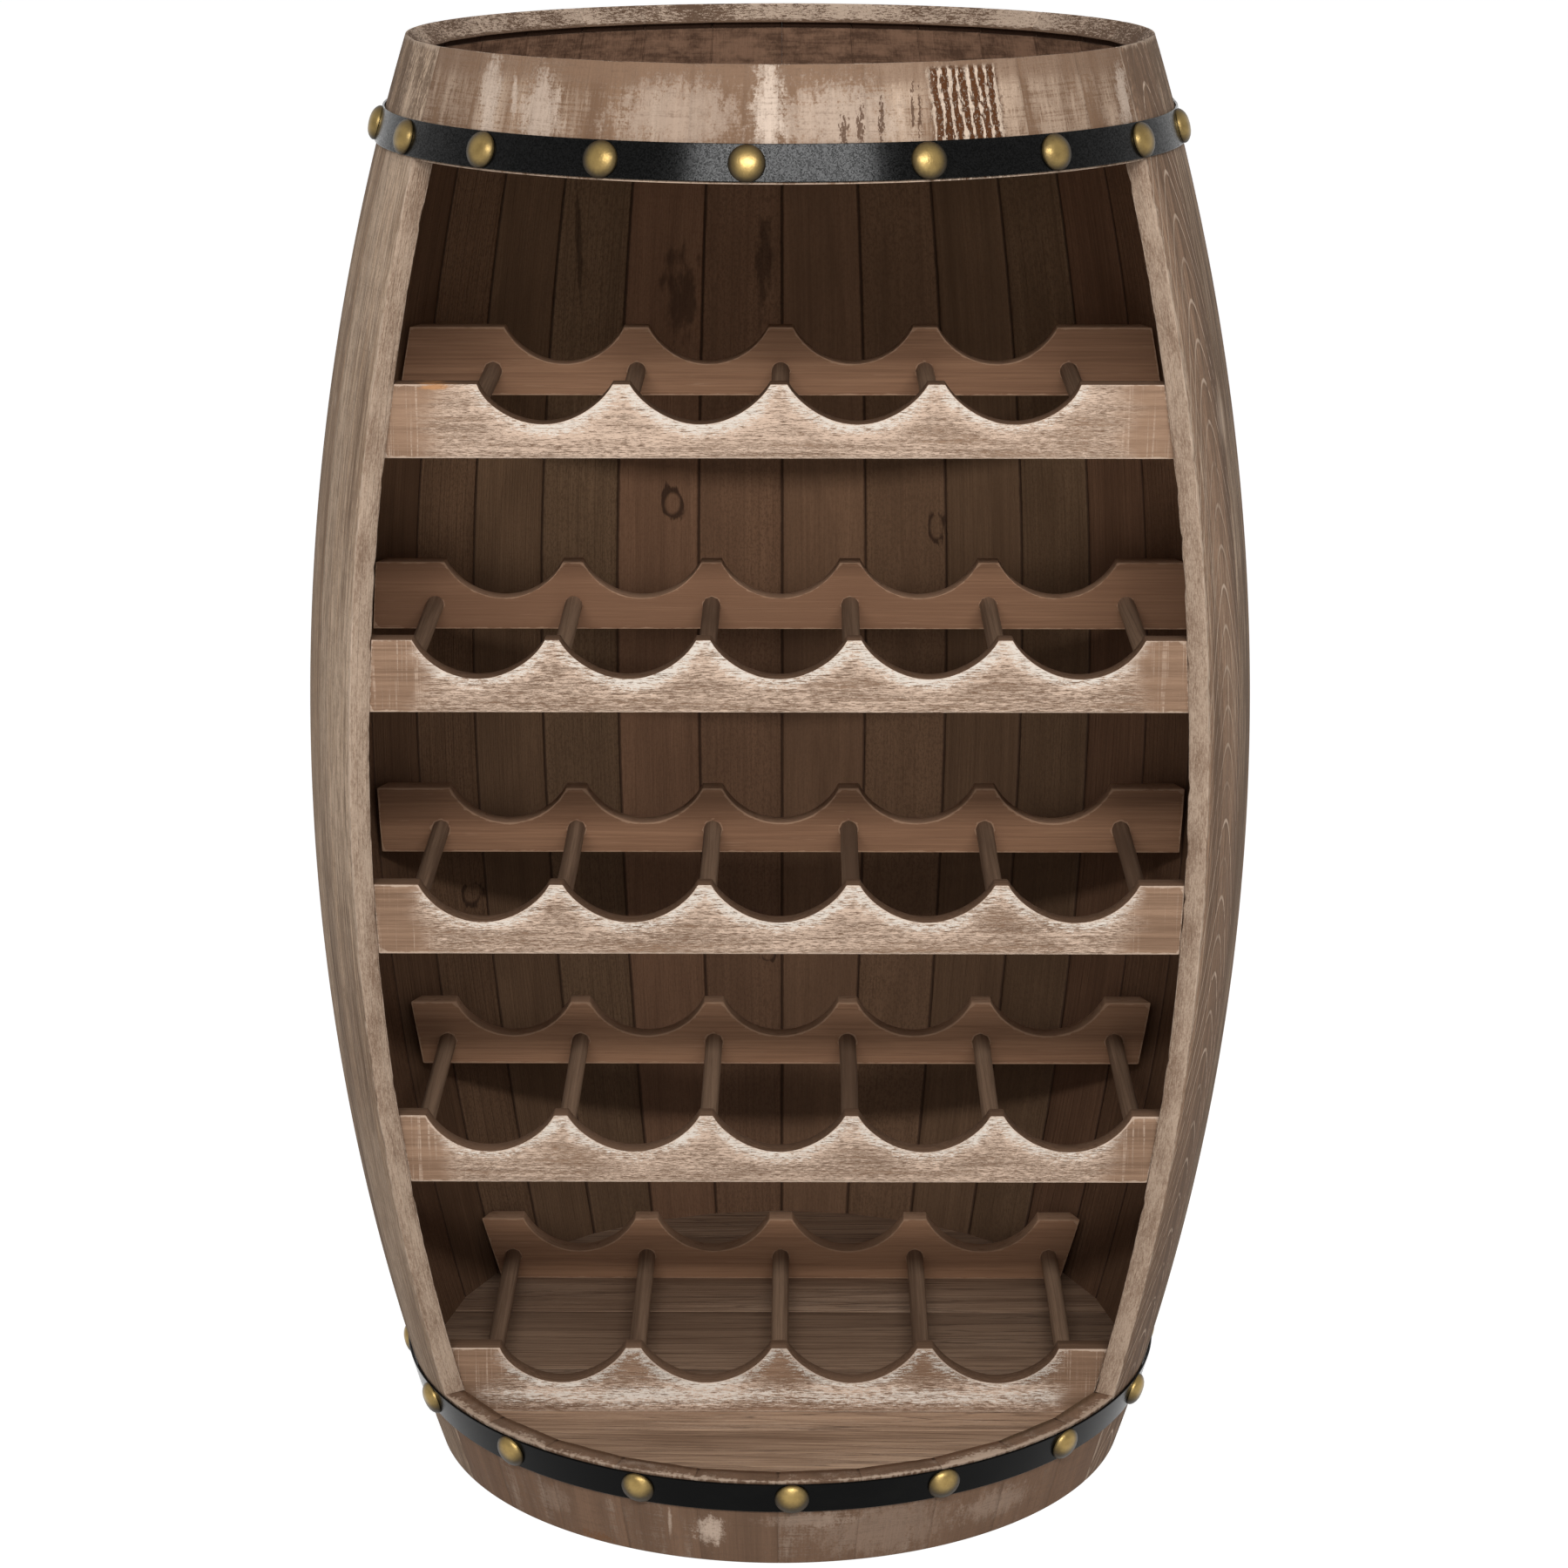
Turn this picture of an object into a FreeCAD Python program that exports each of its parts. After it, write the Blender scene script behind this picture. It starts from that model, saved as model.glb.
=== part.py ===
import FreeCAD, Part
import math
import os
import Sketcher

# Barrel wine rack: a bowed stave barrel, open at the front, with five bottle racks inside.
# Millimetres and degrees. +Z is up, the opening faces -Y, and the origin is on the ground
# under the middle of the footprint, so the barrel's axis stands a little towards the front.

sizes = {
    # Barrel, measured across the joints between its staves
    "height": 800,
    "belly_diameter": 525,
    "end_diameter": 400,
    "stave_count": 30,
    "stave_thickness": 12,
    "open_stave_count": 10,
    "joint_gap": 0.1,
    "rim_width": 1.5,
    "chime_height": 12,
    "top_ring_height": 56,
    "foot_ring_height": 59,
    # Head and floor planks, let into a groove across every stave
    "head_recess": 38,
    "floor_height": 42,
    "head_thickness": 14,
    "croze_width": 6,
    "croze_depth": 4,
    "head_fit": 0.2,
    "plank_count": 5,
    # Hoops and their nails, with angles counted from the middle of the front
    "hoop_inset": 37,
    "hoop_width": 18,
    "hoop_thickness": 1.2,
    "hoop_fit": 0.1,
    "nail_diameter": 18.5,
    "nail_height": 5,
    "nail_slope_angle": 43,
    "top_nail_count": 18,
    "top_nail_first_angle": 20,
    "top_nail_sweep_angle": 336,
    "foot_nail_count": 16,
    "foot_nail_first_angle": 2,
    "foot_nail_sweep_angle": 337.5,
    # Racks
    "board_height": 39,
    "board_thickness": 12,
    "board_setback": 1,
    "board_fit": 0.2,
    "back_board_gap": 6,
    "rack_depth": 190,
    "raised_row_height": 187,
    "row_pitch": 134.3,
    "bottle_diameter": 76,
    "notch_depth": 21,
    "rod_diameter": 10,
    "rod_rise": 14,
    "rod_wall": 2,
    "socket_depth": 7,
    "rod_fit": 0.1,
}

# Bottles in each rack, from the top one down to the one on the floor
bottles = [4, 5, 5, 5, 4]
rows = range(1, len(bottles) + 1)
rod_sides = 8
nail_sides = 8
front_angle = -90
# How far a cut runs on past the wood that it takes away
waste = 60


# Formulas for the distance from the axis to the flat of a stave, outside and inside, at a height
def outside_at(height):
    return f"(sqrt(bow_radius ^ 2 - ({height} - Sizes.height / 2) ^ 2) - bow_offset)"


def inside_at(height):
    return f"(sqrt(inner_bow_radius ^ 2 - ({height} - Sizes.height / 2) ^ 2) - bow_offset)"


# Sizes that follow from the ones above
worked = {
    "half_step": "180 / Sizes.stave_count",
    "flat_share": "cos(half_step)",
    "belly_flat": "Sizes.belly_diameter / 2 * flat_share",
    "bow_rise": "(Sizes.belly_diameter - Sizes.end_diameter) / 2 * flat_share",
    "bow_radius": "(Sizes.height ^ 2 / 4 + bow_rise ^ 2) / (2 * bow_rise)",
    "inner_bow_radius": "bow_radius - Sizes.stave_thickness",
    "bow_offset": "bow_radius - belly_flat",
    "blank_width": "Sizes.belly_diameter * tan(half_step)",
    "chime_edge": f"{outside_at('Sizes.height')} - Sizes.rim_width",
    "chime_foot": "chime_edge - 2 * (Sizes.stave_thickness - Sizes.rim_width)",
    "edge_turn": "90 - Sizes.open_stave_count * half_step",
    "seat_turn": "edge_turn - half_step",
    "head_top": "Sizes.height - Sizes.head_recess",
    "floor_top": "Sizes.floor_height",
    "top_hoop_high": "Sizes.height - Sizes.hoop_inset",
    "top_hoop_low": "top_hoop_high - Sizes.hoop_width",
    "foot_hoop_low": "Sizes.hoop_inset",
    "foot_hoop_high": "foot_hoop_low + Sizes.hoop_width",
    "notch_centre": "Sizes.board_height + Sizes.bottle_diameter / 2 - Sizes.notch_depth",
    "rod_length": "Sizes.rack_depth - Sizes.board_thickness + 2 * (Sizes.socket_depth - Sizes.rod_fit)",
}
for ring in ("top", "foot"):
    band = f"{ring}_hoop"
    for edge in ("high", "low"):
        worked[f"{band}_{edge}_radius"] = f"{outside_at(f'{band}_{edge}')} / flat_share + Sizes.hoop_fit"
    worked[f"{band}_tilt"] = f"atan(({band}_low_radius - {band}_high_radius) / Sizes.hoop_width)"
    worked[f"{band}_face"] = f"({band}_low_radius + {band}_high_radius) / 2 + Sizes.hoop_thickness"
    worked[f"{band}_middle"] = f"({band}_low + {band}_high) / 2"
worked["axis_shift"] = "(Sizes.belly_diameter / 2 - foot_hoop_face - Sizes.nail_height) / 2"
for name in ("head", "floor"):
    top = f"{name}_top"
    neck = inside_at(f"{top} - Sizes.croze_width")
    under = inside_at(f"{top} - Sizes.head_thickness")
    worked[f"{name}_groove"] = f"{inside_at(top)} + Sizes.croze_depth"
    worked[f"{name}_tongue"] = f"{name}_groove - Sizes.head_fit"
    worked[f"{name}_neck"] = f"min({neck}; {under}) - Sizes.head_fit"
# Every rack but the lowest hangs above the floor. Its front board stands just behind the edge
# of the opening, and each board's end leaves a wall of wood beside the rod nearest to it.
end_reaches = {}
for row in rows:
    foot, front, reach = f"row_{row}_foot", f"row_{row}_front", f"row_{row}_reach"
    if row == len(bottles):
        worked[foot] = "Sizes.floor_height"
    else:
        worked[foot] = f"Sizes.raised_row_height + {len(bottles) - 1 - row} * Sizes.row_pitch"
    narrow = f"min({inside_at(foot)}; {inside_at(f'{foot} + Sizes.board_height')})"
    worked[front] = f"{narrow} / flat_share * sin(edge_turn) - Sizes.board_setback"
    rod_low, rod_high = [f"{foot} + Sizes.rod_rise {sign} Sizes.rod_diameter / 2" for sign in "-+"]
    wall = f"min({inside_at(rod_low)}; {inside_at(rod_high)})"
    front_socket = f"({front} - Sizes.board_thickness + Sizes.socket_depth)"
    back_socket = f"(Sizes.rack_depth - {front} + Sizes.socket_depth)"
    front_end = f"{wall} - Sizes.board_fit - {front_socket} * sin(seat_turn)"
    back_end = f"{wall} - Sizes.back_board_gap - {back_socket} * sin(seat_turn)"
    worked[reach] = f"min({front_end}; {back_end}) / cos(seat_turn) - Sizes.rod_wall - Sizes.rod_diameter / 2"
    end_reaches.setdefault(bottles[row - 1], []).append(reach)
for count, reaches in end_reaches.items():
    worked[f"pitch_of_{count}"] = f"2 * min({'; '.join(reaches)}) / {count}"

doc = FreeCAD.newDocument("barrel_wine_rack")
origin_point = (-1, 1)
axis_line = {"DistanceX": -2, "DistanceY": -1}


def make_sheet(name, cells):
    sheet = doc.addObject("Spreadsheet::Sheet", name)
    for line, (alias, content) in enumerate(cells.items(), 1):
        sheet.set(f"A{line}", alias)
        sheet.set(f"B{line}", str(content))
        sheet.setAlias(f"B{line}", alias)
    return sheet


make_sheet("Sizes", sizes)
derived = make_sheet("Worked", {alias: f"={formula}" for alias, formula in worked.items()})
doc.recompute()


def number(formula):
    result = derived.evalExpression(formula)
    return float(getattr(result, "Value", result))


def turned(angle, axis=(0, 0, 1)):
    return FreeCAD.Placement(FreeCAD.Vector(), FreeCAD.Rotation(FreeCAD.Vector(*axis), angle))


# A body whose own frame is the barrel's axis at ground level, turned about that axis
def new_body(label, angle=0):
    body = doc.addObject("PartDesign::Body", label)
    body.Label = label
    body.Placement = turned(angle)
    body.setExpression("Placement.Base.y", "-Worked.axis_shift")
    return body


def origin_feature(body, role):
    return next(feature for feature in body.Origin.OriginFeatures if feature.Role == role)


# Attach a sketch or primitive to an origin plane, turned in it and moved along its axes
def attach(feature, body, role, turn=None, **shifts):
    feature.AttachmentSupport = [(origin_feature(body, role), "")]
    feature.MapMode = "FlatFace"
    if turn:
        feature.AttachmentOffset = turn
    for direction, formula in shifts.items():
        feature.setExpression(f"AttachmentOffset.Base.{direction}", formula)
    return feature


def new_sketch(body, name, role, turn=None, **shifts):
    return attach(body.newObject("Sketcher::SketchObject", f"{body.Name}_{name}"), body, role, turn, **shifts)


def bind(sketch, kind, refs, formula):
    index = sketch.addConstraint(Sketcher.Constraint(kind, *refs, number(formula)))
    sketch.setExpression(f"Constraints[{index}]", formula)


# Hold a point of a sketch at formulas for its two coordinates
def pin(sketch, point, x, y):
    for kind, formula in (("DistanceX", x), ("DistanceY", y)):
        place = number(formula)
        if abs(place) < 1e-6:
            sketch.addConstraint(Sketcher.Constraint("PointOnObject", *point, axis_line[kind]))
        elif place > 0:
            bind(sketch, kind, origin_point + point, formula)
        else:
            bind(sketch, kind, point + origin_point, f"-({formula})")


def add_line(sketch, start, end):
    ends = [FreeCAD.Vector(*place, 0) for place in (start, end)]
    return sketch.addGeometry(Part.LineSegment(*ends))


# Close a straight-sided outline through corners given as pairs of formulas
def outline(sketch, corners):
    places = [(number(x), number(y)) for x, y in corners]
    lines = [add_line(sketch, *pair) for pair in zip(places, places[1:] + places[:1])]
    for line, after, corner in zip(lines, lines[1:] + lines[:1], corners[1:] + corners[:1]):
        sketch.addConstraint(Sketcher.Constraint("Coincident", line, 2, after, 1))
        pin(sketch, (line, 2), *corner)


def rectangle(sketch, left, right, low, high):
    outline(sketch, [(left, low), (right, low), (right, high), (left, high)])


# One arc of the bow between two heights, about a centre beyond the barrel's axis
def add_bow(sketch, radius, low, high):
    reach, middle = number(radius), number("Sizes.height / 2")
    centre = FreeCAD.Vector(-number("Worked.bow_offset"), middle, 0)
    ends = [math.asin((number(height) - middle) / reach) for height in (low, high)]
    circle = Part.Circle(centre, FreeCAD.Vector(0, 0, 1), reach)
    arc = sketch.addGeometry(Part.ArcOfCircle(circle, *ends))
    bind(sketch, "Radius", (arc,), radius)
    pin(sketch, (arc, 3), "-Worked.bow_offset", "Sizes.height / 2")
    return arc


# A line between ends of two other elements of a sketch
def join(sketch, first, second):
    places = [sketch.getPoint(*point) for point in (first, second)]
    line = sketch.addGeometry(Part.LineSegment(*places))
    sketch.addConstraint(Sketcher.Constraint("Coincident", *first, line, 1))
    sketch.addConstraint(Sketcher.Constraint("Coincident", *second, line, 2))
    return line


def extrude(body, kind, sketch, length=None, side="Symmetric", reverse=False):
    feature = body.newObject(f"PartDesign::{kind}", f"{sketch.Name}_{kind.lower()}")
    feature.Profile = sketch
    feature.SideType = side
    feature.Reversed = reverse
    if length:
        feature.setExpression("Length", length)
    else:
        feature.Type = "ThroughAll"
    return feature


def prism(body, kind, name, sides, radius, height, role, turn=None, **shifts):
    feature = body.newObject(f"PartDesign::{kind}Prism", f"{body.Name}_{name}")
    feature.Polygon = sides
    feature.setExpression("Circumradius", radius)
    feature.setExpression("Height", height)
    return attach(feature, body, role, turn, **shifts)


def repeat(body, feature, kind, axis, extent, count, whole=False):
    pattern = body.newObject(f"PartDesign::{kind}Pattern", f"{feature.Name}_repeat")
    if whole:
        pattern.TransformMode = "Whole shape"
        pattern.BaseFeature = feature
    else:
        pattern.Originals = [feature]
    direction = "Axis" if kind == "Polar" else "Direction"
    setattr(pattern, direction, (origin_feature(body, axis), [""]))
    pattern.setExpression("Angle" if kind == "Polar" else "Length", extent)
    pattern.Occurrences = count
    body.Tip = pattern
    return pattern


# Stave: a board bent to the bow, bevelled along both edges to meet its neighbours, and
# grooved across the inside for the head and floor
def stave(label, angle, top, length, crozes):
    body = new_body(label, angle)
    bow = new_sketch(body, "bow", "XZ_Plane")
    low = f"{top} - {length}"
    back = add_bow(bow, "Worked.bow_radius", low, top)
    inside = add_bow(bow, "Worked.inner_bow_radius", low, top)
    for end, height in ((1, low), (2, top)):
        line = join(bow, (back, end), (inside, end))
        bow.addConstraint(Sketcher.Constraint("Horizontal", line))
        if abs(number(height)) < 1e-6:
            bow.addConstraint(Sketcher.Constraint("PointOnObject", line, 1, axis_line["DistanceY"]))
        else:
            bind(bow, "DistanceY", origin_point + (line, 1), height)
    extrude(body, "Pad", bow, "Worked.blank_width")
    edges = new_sketch(body, "edges", "XY_Plane")
    near = f"Sizes.end_diameter / 2 - {waste}"
    far = f"Sizes.belly_diameter / 2 + {waste}"
    for side in (1, -1):
        near_edge, far_edge = [
            f"{side} * (({reach}) * tan(Worked.half_step) - Sizes.joint_gap / 2 / Worked.flat_share)"
            for reach in (near, far)
        ]
        clear = f"{side} * (Worked.blank_width / 2 + {waste})"
        outline(edges, [(near, near_edge), (far, far_edge), (far, clear), (near, clear)])
    extrude(body, "Pocket", edges)
    for name in crozes:
        groove = new_sketch(body, f"{name}_croze", "XZ_Plane")
        depth, top_edge = f"Worked.{name}_groove", f"Worked.{name}_top + Sizes.head_fit"
        bottom_edge = f"Worked.{name}_top - Sizes.croze_width - Sizes.head_fit"
        rectangle(groove, f"{depth} - {waste}", depth, bottom_edge, top_edge)
        extrude(body, "Pocket", groove)
    if top == "Sizes.height":
        # The chime, a slope that thins the upper end from the inside
        chime = new_sketch(body, "chime", "XZ_Plane")
        foot = f"{top} - 2 * Sizes.chime_height"
        outline(chime, [("Worked.chime_edge", top), ("Worked.chime_foot", top), ("Worked.chime_foot", foot)])
        extrude(body, "Pocket", chime)
    return body


step = 2 * number("Worked.half_step")
open_half = number("Sizes.open_stave_count") / 2
full_count = sizes["stave_count"] - sizes["open_stave_count"]
pieces = []
for index in range(full_count):
    turn = front_angle + (open_half + 0.5 + index) * step
    pieces.append(stave(f"stave_{index + 1:02d}", turn, "Sizes.height", "Sizes.height", ("head", "floor")))
for ring, top, length, croze in (
    ("top", "Sizes.height", "Sizes.top_ring_height", "head"),
    ("foot", "Sizes.foot_ring_height", "Sizes.foot_ring_height", "floor"),
):
    turn = front_angle + (0.5 - open_half) * step
    short = stave(f"{ring}_short_staves", turn, top, length, (croze,))
    extent = "(Sizes.open_stave_count - 1) * 2 * Worked.half_step"
    repeat(short, short.Tip, "Polar", "Z_Axis", extent, sizes["open_stave_count"], whole=True)
    pieces.append(short)


# Plank of the head or floor: a slice of a many-sided panel whose upper edge is a tongue
def plank(label, name, index):
    body = new_body(label)
    joints = turned(front_angle + open_half * step)
    heights = {"tongue": "Sizes.croze_width", "neck": "Sizes.head_thickness - Sizes.croze_width"}
    lows = {"tongue": "Sizes.croze_width", "neck": "Sizes.head_thickness"}
    for part in ("tongue", "neck"):
        radius, low = f"Worked.{name}_{part} / Worked.flat_share", f"Worked.{name}_top - {lows[part]}"
        prism(body, "Additive", part, sizes["stave_count"], radius, heights[part], "XY_Plane", joints, z=low)
    reach = f"Worked.{name}_tongue / Worked.flat_share"
    slices = new_sketch(body, "slices", "XY_Plane")
    front, back = [
        f"{reach} * (2 * {index + side} / Sizes.plank_count - 1) + {1 - 2 * side} * Sizes.joint_gap / 2"
        for side in (0, 1)
    ]
    across = f"{reach} + {waste}"
    rectangle(slices, f"-({across})", across, f"-({across})", front)
    rectangle(slices, f"-({across})", across, back, across)
    extrude(body, "Pocket", slices)
    return body


for name in ("head", "floor"):
    for index in range(sizes["plank_count"]):
        pieces.append(plank(f"{name}_plank_{index + 1}", name, index))


# Hoop: a conical strip round a ring of stave ends
def hoop(label, name):
    body = new_body(label)
    strip = new_sketch(body, "strip", "XZ_Plane")
    low, high = [(f"Worked.{name}_{edge}_radius", f"Worked.{name}_{edge}") for edge in ("low", "high")]
    outer = [(f"{radius} + Sizes.hoop_thickness", height) for radius, height in (high, low)]
    outline(strip, [low, high] + outer)
    ring = body.newObject("PartDesign::Revolution", f"{label}_ring")
    ring.Profile = strip
    ring.ReferenceAxis = (origin_feature(body, "Z_Axis"), [""])
    ring.Angle = 360
    return body


# Nails: low many-sided domes in a row round a hoop, square to its sloping face
def nails(label, name, first, sweep, count):
    body = new_body(label, front_angle + number(first))
    lean = turned(-number(f"Worked.{name}_tilt"), (1, 0, 0))
    place = {"y": f"Worked.{name}_middle", "z": f"Worked.{name}_face"}
    radius, height = "Sizes.nail_diameter / 2", "Sizes.nail_height"
    head = prism(body, "Additive", "head", nail_sides, radius, height, "YZ_Plane", lean, **place)
    doc.recompute()
    sides, flats = [], []
    for index, face in enumerate(head.Shape.Faces, 1):
        (sides if len(face.Edges) == 4 else flats).append(f"Face{index}")
    base = min(flats, key=lambda name: head.Shape.getElement(name).CenterOfMass.x)
    dome = body.newObject("PartDesign::Draft", f"{label}_dome")
    dome.Base = (head, sides)
    dome.NeutralPlane = (head, [base])
    dome.setExpression("Angle", "Sizes.nail_slope_angle")
    doc.recompute()
    repeat(body, dome, "Polar", "Z_Axis", sweep, count, whole=True)
    return body


for ring in ("top", "foot"):
    pieces.append(hoop(f"{ring}_hoop", f"{ring}_hoop"))
    first, sweep = f"Sizes.{ring}_nail_first_angle", f"Sizes.{ring}_nail_sweep_angle"
    pieces.append(nails(f"{ring}_hoop_nails", f"{ring}_hoop", first, sweep, sizes[f"{ring}_nail_count"]))


# Cut one end of a board to the bow of the stave that it meets, less a gap
def fit_end(body, name, angle, gap):
    cut = new_sketch(body, name, "XZ_Plane", turned(angle, (0, 1, 0)))
    bow = add_bow(cut, f"Worked.inner_bow_radius - {gap}", "0", "Sizes.height")
    far = f"Sizes.belly_diameter / 2 + {waste}"
    side = add_line(cut, (number(far), 0), (number(far), number("Sizes.height")))
    pin(cut, (side, 1), far, "0")
    pin(cut, (side, 2), far, "Sizes.height")
    for end in (1, 2):
        cut.addConstraint(Sketcher.Constraint("Horizontal", join(cut, (bow, end), (side, end))))
    extrude(body, "Pocket", cut)


# Board: a bar with a row of bottle notches in its top edge and sockets for the rods in the
# face that looks at the other board of its rack
def board(label, row, face, socket_base, turn, gap):
    body = new_body(label)
    count = bottles[row - 1]
    pitch, foot = f"Worked.pitch_of_{count}", f"Worked.row_{row}_foot"
    bar = new_sketch(body, "bar", "XZ_Plane", z=face)
    half = "Sizes.belly_diameter / 2"
    rectangle(bar, f"-{half}", half, foot, f"{foot} + Sizes.board_height")
    extrude(body, "Pad", bar, "Sizes.board_thickness", "One side", reverse=True)
    seat = new_sketch(body, "seat", "XZ_Plane", z=face)
    first, middle = f"-{count - 1} / 2 * {pitch}", f"{foot} + Worked.notch_centre"
    centre = FreeCAD.Vector(number(first), number(middle), 0)
    circle = Part.Circle(centre, FreeCAD.Vector(0, 0, 1), number("Sizes.bottle_diameter / 2"))
    arc = seat.addGeometry(circle)
    bind(seat, "Diameter", (arc,), "Sizes.bottle_diameter")
    pin(seat, (arc, 3), first, middle)
    notch = extrude(body, "Pocket", seat)
    repeat(body, notch, "Linear", "X_Axis", f"{count - 1} * {pitch}", count)
    radius = "Sizes.rod_diameter / 2 + Sizes.rod_fit"
    place = {"x": f"-{count} / 2 * {pitch}", "y": f"{foot} + Sizes.rod_rise", "z": socket_base}
    socket = prism(body, "Subtractive", "socket", rod_sides, radius, "Sizes.socket_depth", "XZ_Plane", **place)
    repeat(body, socket, "Linear", "X_Axis", f"{count} * {pitch}", count + 1)
    fit_end(body, "right_end", turn, gap)
    fit_end(body, "left_end", 180 - turn, gap)
    return body


# Rods: one under each ridge between notches and one at each end of a rack
def rods(label, row, base):
    body = new_body(label)
    count = bottles[row - 1]
    pitch = f"Worked.pitch_of_{count}"
    height = f"Worked.row_{row}_foot + Sizes.rod_rise"
    place = {"x": f"-{count} / 2 * {pitch}", "y": height, "z": base}
    radius, length = "Sizes.rod_diameter / 2", "Worked.rod_length"
    rod = prism(body, "Additive", "rod", rod_sides, radius, length, "XZ_Plane", **place)
    repeat(body, rod, "Linear", "X_Axis", f"{count} * {pitch}", count + 1)
    return body


seat_turn = number("Worked.seat_turn")
for row in rows:
    front = f"Worked.row_{row}_front"
    back = f"{front} - Sizes.rack_depth"
    front_socket = f"{front} - Sizes.board_thickness"
    back_socket = f"{back} - Sizes.socket_depth"
    pieces.append(board(f"rack_front_{row}", row, front, front_socket, -seat_turn, "Sizes.board_fit"))
    pieces.append(board(f"rack_back_{row}", row, back, back_socket, seat_turn, "Sizes.back_board_gap"))
    pieces.append(rods(f"rack_rods_{row}", row, f"{back_socket} + Sizes.rod_fit"))

doc.recompute()
for feature in doc.Objects:
    if {"Invalid", "Error"} & set(feature.State):
        raise RuntimeError(f"{feature.Label} does not build: {feature.getStatusString()}")
os.makedirs("parts", exist_ok=True)
for piece in pieces:
    if piece.Shape.isNull() or not piece.Shape.isValid():
        raise RuntimeError(f"{piece.Label} has no valid shape")
    piece.Shape.exportStep(f"parts/{piece.Label}.step")
    box = piece.Shape.BoundBox
    print(
        f"{piece.Label}: {len(piece.Shape.Solids)} solids, {piece.Shape.Volume:.0f} mm3,"
        f" x {box.XMin:.1f} to {box.XMax:.1f}, y {box.YMin:.1f} to {box.YMax:.1f},"
        f" z {box.ZMin:.1f} to {box.ZMax:.1f}"
    )
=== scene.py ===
import random
from math import asin, atan2, cos, hypot, pi, radians, sin, sqrt
import bmesh
import bpy
from mathutils import Matrix, Vector, kdtree
from mathutils import noise as clouds


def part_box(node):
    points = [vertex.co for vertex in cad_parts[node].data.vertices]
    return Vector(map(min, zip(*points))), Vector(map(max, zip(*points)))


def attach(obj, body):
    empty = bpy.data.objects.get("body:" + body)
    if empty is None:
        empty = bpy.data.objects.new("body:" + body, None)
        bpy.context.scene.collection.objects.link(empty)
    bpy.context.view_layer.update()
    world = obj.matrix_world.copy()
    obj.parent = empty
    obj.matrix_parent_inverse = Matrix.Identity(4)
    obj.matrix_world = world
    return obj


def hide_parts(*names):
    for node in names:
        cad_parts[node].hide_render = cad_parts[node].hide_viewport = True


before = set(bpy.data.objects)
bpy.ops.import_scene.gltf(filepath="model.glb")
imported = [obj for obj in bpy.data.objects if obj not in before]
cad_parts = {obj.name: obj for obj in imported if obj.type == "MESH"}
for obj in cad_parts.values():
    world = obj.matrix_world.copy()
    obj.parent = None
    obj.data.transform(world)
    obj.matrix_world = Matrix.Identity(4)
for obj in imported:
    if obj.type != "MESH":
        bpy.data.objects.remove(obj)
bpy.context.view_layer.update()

scene = bpy.context.scene
scene.view_settings.view_transform = "Standard"

barrel = {
    "height": 0.8, "bellyRadius": 0.2625, "endRadius": 0.2,  # across the stave joints
    "staves": 30, "longStaves": 20, "thickness": 0.0116,
    "turnedUnder": 0.0005,  # the turned outside lies this far inside the joints' circle
    "topRingFoot": 0.744, "footRingTop": 0.0565,  # between them the front is open
}
barrelTop, thick = barrel["height"], barrel["thickness"]
half = barrelTop / 2
rise = barrel["bellyRadius"] - barrel["endRadius"]
bowRadius = (half ** 2 + rise ** 2) / (2 * rise)
bowCentre = barrel["bellyRadius"] - bowRadius
staveAngle = 2 * pi / barrel["staves"]
bandLow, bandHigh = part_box("top_hoop")
barrelAxis = Vector(((bandLow.x + bandHigh.x) / 2, (bandLow.y + bandHigh.y) / 2, 0))
weld, slack = 1e-6, 1e-5  # how far apart two points are one, and how far off a level a point may be


def jointRadius(z):
    return bowCentre + sqrt(bowRadius ** 2 - (z - half) ** 2)


def turnedRadius(z):
    return jointRadius(z) - barrel["turnedUnder"]


def deselect():
    bpy.ops.object.select_all(action="DESELECT")


def named(piece, name):
    piece.name = piece.data.name = name
    return piece


def pick(*pieces):
    deselect()
    for piece in pieces:
        piece.select_set(True)
    bpy.context.view_layer.objects.active = pieces[0]


def add(name, operator, **settings):
    deselect()
    operator(**settings)
    return named(bpy.context.object, name)


def selectAll():
    bpy.ops.mesh.select_all(action="SELECT")


def openEdit(piece, mode="VERT"):
    pick(piece)
    bpy.ops.object.mode_set(mode="EDIT")
    bpy.ops.mesh.select_mode(type=mode)
    selectAll()


def closeEdit():
    bpy.ops.object.mode_set(mode="OBJECT")


def selectWhere(piece, kind, test):
    bpy.ops.mesh.select_mode(type={"verts": "VERT", "edges": "EDGE"}[kind])
    bpy.ops.mesh.select_all(action="DESELECT")
    shape = bmesh.from_edit_mesh(piece.data)
    for part in getattr(shape, kind):
        if test(part):
            part.select_set(True)
    shape.select_flush_mode()
    bmesh.update_edit_mesh(piece.data)


def saw(point, normal=(0, 0, 1), **options):
    selectAll()
    bpy.ops.mesh.bisect(plane_co=point, plane_no=normal, **options)


def cleanUp(piece):
    openEdit(piece)
    bpy.ops.mesh.remove_doubles(threshold=weld)
    selectAll()
    bpy.ops.mesh.normals_make_consistent(inside=False)
    closeEdit()


def applyModifier(piece, kind, **settings):
    pick(piece)
    modifier = piece.modifiers.new(kind.lower(), kind)
    for key, value in settings.items():
        setattr(modifier, key, value)
    bpy.ops.object.modifier_apply(modifier=modifier.name)


def roundEdges(piece, width, angle=35):
    applyModifier(piece, "BEVEL", width=width, segments=2, limit_method="ANGLE",
                  angle_limit=radians(angle))


def settle(piece):
    pick(piece)
    bpy.ops.object.transform_apply(location=True, rotation=True, scale=True)


def copyOf(piece, name):
    pick(piece)
    bpy.ops.object.duplicate(linked=False)
    return named(bpy.context.object, name)


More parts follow.
